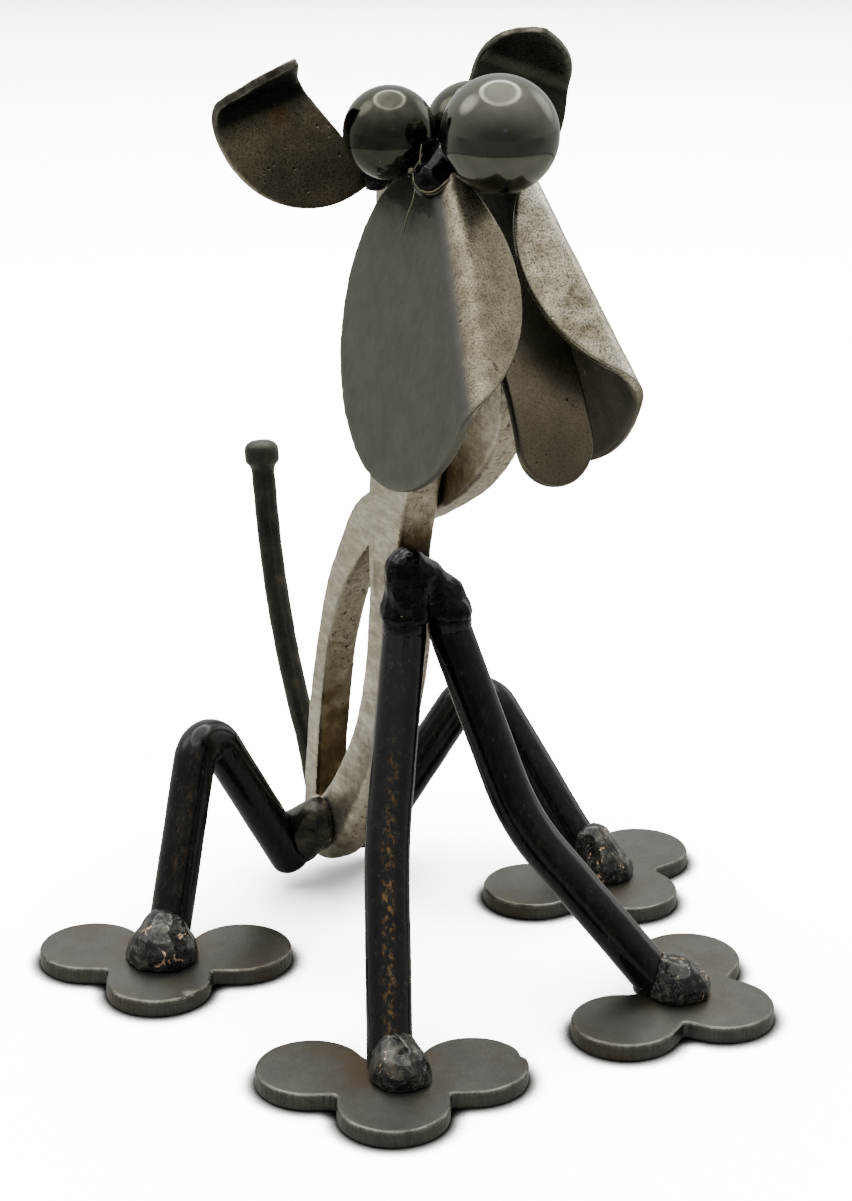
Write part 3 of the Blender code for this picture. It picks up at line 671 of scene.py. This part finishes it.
def plate_rings(outline, thickness, rounding, inner=60, rim=4):
    """Rings over one face, round the rim and back over the other: (flat places, heights, rim closeness)."""
    inward = leftward(outline)
    centre = outline.mean(0)
    if np.einsum("ij,ij->i", inward, centre - outline).mean() < 0:
        inward = -inward
    inset = outline + inward * rounding
    layers = [(centre + (inset - centre) * k, 0.0) for k in np.linspace(0.03, 1, inner) ** 0.85]
    for k in range(1, rim + 1):
        a = math.pi / 2 * k / rim
        layers.append((outline + inward * rounding * (1 - math.sin(a)), -rounding * (1 - math.cos(a))))
    half = [(flat, -height) for flat, height in layers]
    layers += [(outline, h) for h in np.linspace(-rounding, rounding - thickness, 5)[1:-1]]
    layers += [(flat, height - thickness) for flat, height in reversed(half)]
    flats = np.array([flat for flat, _ in layers])
    heights = np.array([np.full(len(outline), height) for _, height in layers])
    distance = np.linalg.norm(flats - outline[None], axis=2)
    return flats, heights, bell(distance, 0.0, 0.9)


def plate_outline(shape, count=260):
    """Round outline in the flat sheet, or with a straight cut where there is one."""
    (s0, t0), (half_s, half_t) = shape["centre"], shape["half_axes"]
    if "cut" not in shape:
        angles = np.linspace(0, 2 * math.pi, 2400, endpoint=False)
        return resampled(np.column_stack([s0 + half_s * np.cos(angles), t0 + half_t * np.sin(angles)]), count)
    offset, slant = shape["cut"]
    corner = shape["corner_radius"]
    t = t0 + half_t * np.sin(np.linspace(-math.pi / 2, math.pi / 2, 1600))
    reach = half_s * np.sqrt(np.maximum(0, 1 - ((t - t0) / half_t) ** 2))
    over = np.clip(t - (t0 + half_t - corner), 0, corner)
    low = np.maximum(s0 - reach, s0 + offset + slant * (t - t0) + corner - np.sqrt(corner ** 2 - over ** 2))
    kept = low < s0 + reach
    t, low, high = t[kept], low[kept], (s0 + reach)[kept]
    outline = resampled(np.vstack([np.column_stack([low, t]), np.column_stack([high, t])[::-1]]), 1200)
    spread = 9
    outline = sum(np.roll(outline, k, axis=0) for k in range(-spread, spread + 1)) / (2 * spread + 1)
    return resampled(outline, count)


def folded_piece(name, look, seed):
    shape, left = FOLDED[name], name.endswith("left")
    fold = Fold(shape, left)
    flats, heights, rim = plate_rings(plate_outline(shape), shape["thickness"], 0.38)
    s, t = flats[..., 0].ravel(), flats[..., 1].ravel()
    flat = np.column_stack([s, t, np.zeros(len(s))])
    wave = 0.10 * grain(flat, 9.0, 3, seed) + 0.03 * grain(flat, 2.0, 3, seed + 5)
    burr = rim.ravel() * 0.10 * grain(flat, 1.5, 3, seed + 9)
    points = fold.at(s, t, heights.ravel() + wave + burr)
    rows, columns = heights.shape
    points, faces = closed_rings(points.reshape(rows, columns, 3))
    marks = {"rim": rim.ravel(), "along": s, "across": t}
    marks = {key: np.append(values, [values[:columns].mean(), values[-columns:].mean()])
             for key, values in marks.items()}
    return add_piece(name + "_look", points, faces, look, [name], marks)


def tongue_piece(look):
    spine = resampled(smooth_line(TONGUE_SPINE, 30), 200, closed=False)
    lengths = lengths_to(spine)
    total, w = lengths[-1], TONGUE_HALF_WIDTH
    outline = [(0.0, w), (0.0, -w)] + arc((total - w, 0.0), w, -90, 90, 60)
    flats, heights, rim = plate_rings(resampled(outline, 220), TONGUE_THICKNESS, 0.55)
    s, x = flats[..., 0].ravel(), flats[..., 1].ravel()
    height = heights.ravel() + TONGUE_THICKNESS / 2
    flat = np.column_stack([s, x, np.zeros(len(s))])
    height = height + 0.06 * grain(flat, 6.0, 3, 3.0)
    y, z = np.interp(s, lengths, spine[:, 0]), np.interp(s, lengths, spine[:, 1])
    slope = unit(np.gradient(spine, axis=0))
    dy, dz = np.interp(s, lengths, slope[:, 0]), np.interp(s, lengths, slope[:, 1])
    points = np.column_stack([TONGUE_X + x, y + height * dz, z - height * dy])
    rows, columns = heights.shape
    points, faces = closed_rings(points.reshape(rows, columns, 3))
    marks = {"rim": np.append(rim.ravel(), [0, 0]), "across": np.append(s, [s.mean()] * 2)}
    return add_piece("tongue_look", points, faces, look, ["tongue"], marks)


def paw_outline(count=640):
    r, f = LOBE_RADIUS, NOTCH_RADIUS
    heel = math.degrees(math.atan2(HEEL_BACK, SIDE_REACH))
    half = arc((0.0, -HEEL_BACK), math.hypot(HEEL_BACK, SIDE_REACH) - r, 90, heel, 40)
    half += arc((SIDE_REACH, 0.0), r, heel - 180, 90, 120)[1:]
    half += arc((r + f, r + f), f, 270, 180, 20)
    half += arc((0.0, TOE_REACH), r, 0, 90, 60)
    return resampled(half + [(-x, y) for x, y in half[-2:0:-1]], count)


def paw_piece(leg, look, seed, nicks):
    """Flame-cut plate: rounded top edge, upright cutting marks round the side, a nick in some."""
    (x, y), turn = ANKLES[leg]
    outline = paw_outline()
    inward = leftward(outline)
    top, foot = 0.5, 0.45
    layers = [(2.2, 0.0), (foot + 0.5, 0.0)]
    layers += [(foot * (1 - math.sin(a)), foot * (1 - math.cos(a))) for a in np.linspace(0, math.pi / 2, 4)]
    layers += [(0.0, z) for z in np.linspace(foot, PLATE - top, 7)[1:-1]]
    quarter = np.linspace(0, math.pi / 2, 6)
    layers += [(top * (1 - math.cos(a)), PLATE - top * (1 - math.sin(a))) for a in quarter]
    layers += [(top + 0.4, PLATE), (top + 1.2, PLATE), (2.4, PLATE)]
    lengths = np.arange(len(outline)) * 1.0
    rings = []
    for inset, z in layers:
        ring = outline + inward * inset
        side = math.exp(-((inset / 0.5) ** 2)) * min(1.0, z / foot)
        place = np.column_stack([lengths / 2.6, np.full(len(outline), z / 9), np.zeros(len(outline))])
        saw = 0.05 * side * grain(place, 1.0, 3, seed)
        lump = 0.06 * grain(np.column_stack([ring, np.full(len(ring), z)]), 4.0, 2, seed + 3)
        rings.append(np.column_stack([ring + inward * (saw + lump * side)[:, None], np.full(len(ring), z)]))
    rings = np.array(rings)
    for (u, v), size, depth in nicks:
        near = np.exp(-(((rings[..., 0] - u) ** 2 + (rings[..., 1] - v) ** 2) / size ** 2))
        rise = rising(rings[..., 2], 0.4 * PLATE, 1.4 * PLATE)
        rings[..., 2] -= depth * near * rise
        rings[..., :2] += inward[None] * (depth * near * rise)[..., None]
    rows, columns = rings.shape[:2]
    faces = lattice(rows, columns)
    faces.append(list(range(columns))[::-1])
    faces.append(list(range((rows - 1) * columns, rows * columns)))
    insets = np.repeat([inset for inset, _ in layers], columns)
    tops = np.repeat([z for _, z in layers], columns)
    rim = bell(insets, 0.15, 0.3) * (tops > PLATE - 0.6)
    side = (tops < PLATE - 0.3) * 1.0
    outward = math.radians(turn) * (1 if x > 0 else -1)
    c, s = math.cos(math.pi + outward), math.sin(math.pi + outward)
    flat = rings.reshape(-1, 3)
    points = np.column_stack([x + c * flat[:, 0] - s * flat[:, 1],
                              y + s * flat[:, 0] + c * flat[:, 1], flat[:, 2]])
    return add_piece("paw_" + leg + "_look", points, faces, look, ["paw_" + leg],
                     {"rim": rim, "side": side})


# ---- bars
def bar_rings(controls, plane_x, steps=14, count=76):
    stations = smooth_line(controls, steps)
    rings = []
    for i, (y, z, width, thick, outer) in enumerate(stations):
        before, after = stations[max(i - 1, 0)], stations[min(i + 1, len(stations) - 1)]
        along = np.array([after[0] - before[0], after[1] - before[1]])
        along /= np.linalg.norm(along)
        section = []
        corners = ((1, 1, outer), (-1, 1, outer), (-1, -1, INNER_ROUNDING), (1, -1, INNER_ROUNDING))
        for k, (side, out, radius) in enumerate(corners):
            centre = (side * (thick - radius), out * (width / 2 - radius))
            section += arc(centre, radius, 90 * k, 90 * k + 90, 8)
        section = resampled(section, count)
        rings.append(np.column_stack([plane_x + section[:, 0], y + section[:, 1] * along[1],
                                      z - section[:, 1] * along[0]]))
    return rings


def edge_marks(normals):
    """Marks of a bar's narrow faces and of the ridges between them and its sides, where the painted highlight
    goes.
    """
    sideways = np.abs(normals[:, 0])
    return {"edge": rising(sideways, 0.7, 0.4), "ridge_highlight": bell(sideways, 0.72, 0.16)}


def body_piece(look):
    bars = [closed_rings(bar_rings(controls, 0.0)) for controls in (NECK_AND_CHEST, BACK)]
    points, normals, faces = fused(*joined(*bars), voxel=0.34, smoothing=1)
    dents = 0.14 * grain(points, 7.0, 3, 1.0) + 0.05 * grain(points, 1.6, 3, 4.0)
    points = points + normals * dents[:, None]
    height = points[:, 2]
    ahead = normals[:, 1] < -0.5
    shoulder = bell(height, SHOULDER_Z + 5, 6.0) * (points[:, 1] < 24) * np.where(ahead, 1.0, 0.3)
    top = rising(height, 143, 151)
    collar = 0.5 * bell(height, SHOULDER_Z + 11, 9.0) * ahead
    hips = 0.36 * rising(height, 26, 12)
    inside = (normals[:, 1] < -0.4) & (points[:, 1] > 44) & (height > 15)
    hips = np.maximum(hips, 0.66 * rising(height, 66, 26) * inside)
    heat = np.clip(shoulder + 0.7 * top + collar + hips + 0.2 * grain(points, 4.0, 3, 8.0), 0, 1)
    return add_piece("body_bow_look", points, faces, look, ["body_bow"],
                     {"scorch": heat, **edge_marks(normals)})


def throat_piece(look):
    points, normals, faces = fused(*closed_rings(bar_rings(THROAT, THROAT_X)), voxel=0.26, smoothing=1)
    dents = 0.10 * grain(points, 5.0, 3, 2.0) + 0.04 * grain(points, 1.2, 3, 6.0)
    points = points + normals * dents[:, None]
    heat = 0.16 + 0.6 * rising(points[:, 2], 108, 94) + 0.2 * grain(points, 5.0, 3, 1.0)
    heat *= rising(points[:, 0], THROAT_X - 1.6, THROAT_X - 3.6)
    return add_piece("throat_bow_look", points, faces, look, ["throat_bow"],
                     {"scorch": heat, **edge_marks(normals)})


# ---- rods
def tube_rings(path, radii, sides):
    """Rings square to the path, carried along it without twist."""
    path = np.asarray(path, float)
    slopes = unit(np.gradient(path, axis=0))
    across = np.cross(slopes[0], [0.3, 1.0, 0.1])
    rings = []
    angles = np.linspace(0, 2 * math.pi, sides, endpoint=False)
    for point, slope, radius in zip(path, slopes, radii):
        across = across - slope * (across @ slope)
        across /= np.linalg.norm(across)
        other = np.cross(slope, across)
        rings.append(point + radius * (np.cos(angles)[:, None] * across + np.sin(angles)[:, None] * other))
    return np.array(rings)


def foot(leg):
    x, y = FEET[leg]
    return [(x, y, PLATE - 0.3), (x, y, PLATE + FOOT_HEIGHT)]


def front_leg_path(leg):
    points = foot(leg)
    (top_x, top_y), bend = FRONT_LEGS[leg]
    start, corner, end = Vector(points[-1]), Vector(bend), Vector((top_x, top_y, SHOULDER_Z - 2.5))
    below = corner + (start - corner).normalized() * BEND_REACH
    above = corner + (end - corner).normalized() * BEND_REACH
    for t in np.linspace(0, 1, 25):
        points.append(tuple(below.lerp(corner, t).lerp(corner.lerp(above, t), t)))
    return points + [tuple(end), (top_x, top_y, SHOULDER_Z + 1.0)]


def rear_leg_path(leg):
    points = foot(leg)
    place, radius = KNEES[leg]
    start, knee, end = Vector(points[-1]), Vector(place), Vector(THIGH_ENDS[leg])
    down, back = (start - knee).normalized(), (end - knee).normalized()
    half_angle = down.angle(back) / 2
    reach = radius / math.tan(half_angle)
    centre = knee + (down + back).normalized() * (radius / math.sin(half_angle))
    shin_top = knee + down * reach
    points.append(tuple(shin_top))
    from_centre = (shin_top - centre).normalized()
    axis = from_centre.cross(((knee + back * reach) - centre).normalized()).normalized()
    sweep = math.pi - 2 * half_angle
    for k in range(1, 25):
        points.append(tuple(centre + Matrix.Rotation(sweep * k / 24, 3, axis) @ from_centre * radius))
    points.append(tuple(end))
    return points


def leg_piece(leg, look, seed):
    path = front_leg_path(leg) if leg in FRONT_LEGS else rear_leg_path(leg)
    length = sum(math.dist(a, b) for a, b in zip(path, path[1:]))
    path = resampled(path, int(length / 0.55), closed=False)
    radii = np.full(len(path), ROD_RADIUS)
    radii[-3:] *= np.array([0.99, 0.95, 0.86])
    rings = tube_rings(path, radii, 56)
    points, faces = closed_rings(rings)
    normals = (rings - path[:, None]).reshape(-1, 3) / np.repeat(radii, rings.shape[1])[:, None]
    normals = np.vstack([normals, np.zeros((2, 3))])
    dents = 0.05 * grain(points, 6.0, 2, seed) + 0.02 * grain(points, 1.4, 3, seed + 4)
    points = points + normals * dents[:, None]
    low = bell(points[:, 2], 27, 17.0)
    facing = rising(normals @ np.array(RUST_FACES), 0.91, 0.95)
    rust = np.clip(low * facing * (1 + 0.5 * grain(points, 5.0, 3, seed)), 0, 1) * RUST[leg]
    return add_piece("leg_" + leg + "_look", points, faces, look, ["leg_" + leg], {"rust": rust})


def tail_piece(look):
    path = resampled(smooth_line((TAIL_FOOT, *TAIL_SPINE), 20), 156, closed=False)
    path[:, 1] -= TAIL_LEANS_IN * rising(path[:, 2], TAIL_FOOT[2] + 12.0, TAIL_FOOT[2]) ** 2
    lengths = lengths_to(path)
    from_top = lengths[-1] - lengths
    stops = (0.0, 0.35, 1.0, 1.6, 3.8, 4.3, 5.0, 6.0, lengths[-1])
    sizes = (1.9, 2.7, 3.2, 3.4, 3.4, 3.2, 2.5, TAIL_RADIUS, TAIL_RADIUS)
    radii = np.interp(from_top, stops, sizes)
    points, faces = closed_rings(tube_rings(path, radii, 40))
    mesh = as_mesh("nail", points, faces)
    _, normals = arrays(mesh)
    bpy.data.meshes.remove(mesh)
    points = points + normals * (0.07 * grain(points, 3.0, 3, 5.0))[:, None]
    head = rising(points[:, 2], TAIL_SPINE[-1][2] - 5.6, TAIL_SPINE[-1][2] - 4.8)
    return add_piece("tail_nail_look", points, faces, look, ["tail_nail"], {"head": head})


# ---- welds
def weld_piece(node, look, seed, swell=0.14, ripple=0.16, lump=2.6, extra=(), groove=None):
    """The solid's own lump, swollen to close its gaps, with the ripples of a weld and any wires on it."""
    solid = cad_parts[node].data
    bm = bmesh.new()
    bm.from_mesh(solid)
    bmesh.ops.remove_doubles(bm, verts=bm.verts, dist=0.02 * MM)
    points = np.array([v.co for v in bm.verts]) / MM - SHIFT
    faces = [[v.index for v in f.verts] for f in bm.faces]
    bm.free()
    points, normals, faces = fused(points, faces, 0.3, smoothing=4)
    raised = swell + ripple * grain(points, lump, 1, seed)
    raised += 0.12 * ripple * grain(points, lump / 3, 1, seed + 7)
    if groove:
        middle_x, top, depth = groove
        raised -= depth * bell(points[:, 0], middle_x, 1.2) * rising(points[:, 2], top, top - 4)
    points = points + normals * raised[:, None]
    points[:, 2] = np.maximum(points[:, 2], PLATE - 0.2)
    wire = np.zeros(len(points))
    for path, radius in extra:
        path = resampled(smooth_line(path, 8), 60, closed=False)
        radii = radius * np.sqrt(np.clip(1 - np.linspace(-1, 1, 60) ** 8, 0.05, 1))
        points, faces = joined((points, faces), closed_rings(tube_rings(path, radii, 12)))
        wire = np.append(wire, np.ones(len(points) - len(wire)))
    rim = rising(points[:, 2], PLATE + 0.55, PLATE + 0.1) * node.startswith("weld_ankle")
    return add_piece(node + "_look", points, faces, look, [node], {"wire": wire, "rim": 0.8 * rim})


# ---- the object
def build_dog():
    ball_piece("nose_ball", ball_steel("nose_steel", tone(92, 90, 84), tone(106, 104, 97), 0.0))
    eyes = ball_steel("eye_steel", tone(60, 59, 52), tone(82, 80, 72), 0.06)
    for node in ("eye_right", "eye_left"):
        ball_piece(node, eyes)
    # the colour after each flap's two colours is painted light, laid at the flap's ends with the two
    # strengths after it, and along the bend
    folded_piece("jowl_right", jowl_steel(
        "jowl_right_plate", (tone(92, 93, 85), tone(100, 101, 93)), tone(104, 98, 100),
        (tone(122, 115, 95), tone(156, 149, 127)), tone(205, 198, 178), 0.25, 0.35, 0.7, 0.48, 0.28), 1.0)
    folded_piece("jowl_left", jowl_steel(
        "jowl_left_plate", (tone(60, 56, 48), tone(74, 68, 58)), tone(168, 161, 142),
        (tone(132, 124, 101), tone(214, 207, 184)), tone(246, 241, 224), 1.0, 0.8, 0.85, 0.42, 0.26), 2.0)
    # the right ear's shading across the sheet is painted shade in its curl
    folded_piece("ear_right", plate_steel(
        "ear_right_plate", tone(128, 122, 102), tone(168, 158, 130), tone(58, 52, 42), 0.6, 0.42,
        rim_wear_and_highlight=0.6, pitted=0.20, spot=(-0.9, -3.6, 2.4), painted_shading=(-6.0, -1.8)), 3.0)
    # the left ear's plate is darker all over: painted shade for the shadow in the ear's cup
    folded_piece("ear_left", plate_steel(
        "ear_left_plate", tone(52, 51, 43), tone(72, 70, 61), tone(26, 25, 20), 0.35, 0.28, rim_wear_and_highlight=0.25), 4.0)
    # the tongue's shading across the sheet is painted light on its upper part, which the jowls shade
    tongue_piece(plate_steel(
        "tongue_plate", tone(102, 96, 81), tone(120, 113, 95), tone(60, 52, 42), 0.4, 0.40,
        edge=tone(104, 102, 96), rim_wear_and_highlight=0.5, painted_shading=(19.0, 8.0), shading_colour=tone(205, 198, 178)))
    paws = plate_steel("paw_plate", tone(82, 82, 79), tone(94, 93, 89), tone(58, 55, 50), 0.3, 0.33,
                       tint=tone(82, 76, 64), edge=tone(146, 143, 133), rim_wear_and_highlight=0.40, pitted=0.01,
                       scorched=[(*place, PLATE) for place, _ in ANKLES.values()])
    for seed, leg in enumerate(ANKLES):
        paw_piece(leg, paws, seed * 3.0, NICKS.get(leg, ()))
    forged = forged_steel()
    body_piece(forged)
    throat_piece(forged)
    rods = black_rod()
    for seed, leg in enumerate(ANKLES):
        leg_piece(leg, rods, seed * 2.0)
    tail_piece(nail_steel())
    black = weld_bead("black_weld", tone(3, 3, 2), tone(8, 8, 7), tone(34, 31, 26), 0.12, 0.0, 0.08, 0.3, 0.3)
    grey = weld_bead("grey_weld", tone(15, 15, 13), tone(32, 31, 28), tone(84, 80, 72), 0.4, 0.05, 0.14)
    brown = weld_bead("brown_weld", tone(26, 24, 17), tone(44, 39, 29), tone(78, 70, 54), 0.1, 0.0, 0.24)
    weld_piece("weld_shoulder", black, 1.7, swell=0.3, ripple=0.7, lump=4.0,
               groove=(-0.6, SHOULDER_Z + 9, 1.1))
    weld_piece("weld_head", black, 3.4, swell=0.1, ripple=0.12, lump=3.0, extra=HEAD_WIRES)
    for seed, side in enumerate(("right", "left")):
        weld_piece("weld_ear_" + side, black, 5.1 + seed)
        weld_piece("weld_hip_" + side, brown, 7.3 + seed, swell=0.3, ripple=0.3, lump=4.0)
    for seed, leg in enumerate(ANKLES):
        weld_piece("weld_ankle_" + leg, grey, 9.0 + 1.7 * seed, swell=0.2, ripple=0.34, lump=3.0)


# ---- the room
def make_floor():
    """The camera takes the floor as a white backdrop, and the balls show a round table on it."""
    bm = bmesh.new()
    bmesh.ops.create_circle(bm, cap_ends=True, segments=96, radius=3.0)
    mesh = bpy.data.meshes.new("floor")
    bm.to_mesh(mesh)
    bm.free()
    floor = linked("floor", mesh)
    look = Look("floor", 0.0)
    front = -Vector((CAMERA_LOOKS[0], CAMERA_LOOKS[1], 0.0)).normalized()
    nose = Vector(placed(NOSE_CENTRE))
    middle_point = nose - front * TABLE_BEHIND * MM
    middle_point.z = 0.0
    away = look.distance(middle_point)
    ahead = look.node("VectorMath", {0: look.place, 1: front}, operation="DOT_PRODUCT").outputs["Value"]
    beyond = look.span(away, TABLE_RADIUS * MM, (TABLE_RADIUS + 12) * MM)
    edge = look.sum(away, (TABLE_RADIUS + 8) * MM, "SUBTRACT")
    line = look.span(look.sum(edge, 0.0, "ABSOLUTE"), 6 * MM, 16 * MM)
    room = look.span(ahead, nose @ front - 0.3, nose @ front + 0.15, ROOM_BEHIND, ROOM)
    table = look.mix(beyond, (TABLE, TABLE, 0.94 * TABLE, 1.0), room)
    table = look.mix(line, (0.05, 0.05, 0.05, 1.0), table)
    far = look.span(away, *FLOOR_FADE, 1.0, FLOOR_FAR)
    near, wide = (
        look.node("AmbientOcclusion", {"Distance": reach * MM}, samples=FLOOR_SHADE_SAMPLES).outputs["AO"]
        for reach in (3.5, 45)
    )
    shade = look.times(look.ramp(near, (0.5, 0.003), (0.62, 0.02), (0.8, 0.14), (0.97, 1.0)),
                       look.span(wide, 0.35, 0.95, 0.12, 1.0))
    shade = look.times(shade, far)
    seen = look.node("LightPath").outputs["Is Camera Ray"]
    white = look.mix(shade, (0.0, 0.0, 0.0, 1.0), (SHOWN_FLOOR, SHOWN_FLOOR, 0.97 * SHOWN_FLOOR, 1.0))
    diffuse = look.node("BsdfDiffuse", {"Color": look.mix(seen, table, white)}).outputs[0]
    look.feed(look.tree.nodes["Material Output"].inputs["Surface"], diffuse)
    mesh.materials.append(look.material)


class Sky(Nodes):
    """The world's light, by direction in the room."""

    def __init__(self):
        world = bpy.data.worlds.new("studio")
        bpy.context.scene.world = world
        world.use_nodes = True
        self.tree = world.node_tree
        self.background = self.tree.nodes["Background"]
        self.place = self.tree.nodes.new("ShaderNodeTexCoord").outputs["Generated"]

    def toward(self, direction):
        ends = {0: self.place, 1: Vector(direction).normalized()}
        return self.node("VectorMath", ends, operation="DOT_PRODUCT").outputs["Value"]

    def cap(self, direction, whole, edge, added=0.0):
        """1 within whole degrees of the direction, falling to 0 at edge degrees."""
        at = self.sum(self.toward(direction), added)
        made = self.span(at, math.cos(math.radians(edge)), math.cos(math.radians(whole)))
        made.node.interpolation_type = "SMOOTHSTEP"
        return made


def make_light():
    """A lit ceiling with a ring lamp in it, a lamp on each side, pale walls behind, a dim room in front."""
    sky = Sky()
    away = Vector((CAMERA_LOOKS[0], CAMERA_LOOKS[1], 0.0)).normalized()
    up = Vector((0, 0, 1))
    depth = sky.toward(away)
    walls = sky.sum(sky.span(depth, -0.9, 0.0, ROOM_LIGHT, SIDE_LIGHT),
                    sky.span(depth, 0.0, 0.8, 0.0, WALL_LIGHT - SIDE_LIGHT))
    height = sky.span(sky.toward(up), 0.0, 0.9, 0.0, 1.0)
    light = sky.sum(walls, sky.times(sky.times(height, height), CEILING_LIGHT))
    side = sky.toward(away.cross(up))
    narrowing = sky.times(sky.times(side, side), -RING_NARROWING)
    tilt = math.radians(RING_TILT)
    ring_axis = away * math.sin(tilt) + up * math.cos(tilt)
    inside = sky.cap(ring_axis, RING_INNER - 3.0, RING_INNER, narrowing)
    outside = sky.cap(ring_axis, RING_OUTER, RING_OUTER + 2.0, narrowing)
    ring = sky.times(sky.sum(outside, inside, "SUBTRACT"), sky.span(depth, -0.45, 0.7, 0.3, 1.0))
    light = sky.sum(light, sky.times(inside, INSIDE_LIGHT))
    light = sky.sum(light, sky.times(ring, RING_LIGHT))
    for direction, power in SIDE_LAMPS:
        light = sky.sum(light, sky.times(sky.cap(direction, 0.0, 20.0), power))
    window = sky.cap(WINDOW, 1.5, 4.0)
    light = sky.sum(light, sky.times(window, WINDOW_LIGHT))
    seen = sky.node("LightPath").outputs["Is Camera Ray"]
    mixed = sky.node("Mix", {0: seen, 2: light, 3: SHOWN_SKY}, data_type="FLOAT").outputs[0]
    sky.feed(sky.background.inputs["Strength"], mixed)
    sky.feed(sky.background.inputs["Color"], sky.mix(window, ROOM_TONE, WINDOW_TONE))


def make_camera():
    data = bpy.data.cameras.new("camera")
    data.lens = LENS
    data.sensor_width = 36.0
    camera = linked("camera", data)
    camera.location = placed(CAMERA_AT)
    camera.rotation_mode = "QUATERNION"
    camera.rotation_quaternion = Vector(CAMERA_LOOKS).to_track_quat("-Z", "Y")
    data.clip_start, data.clip_end = 0.02, 20.0
    bpy.context.scene.camera = camera


build_dog()
make_floor()
make_light()
make_camera()
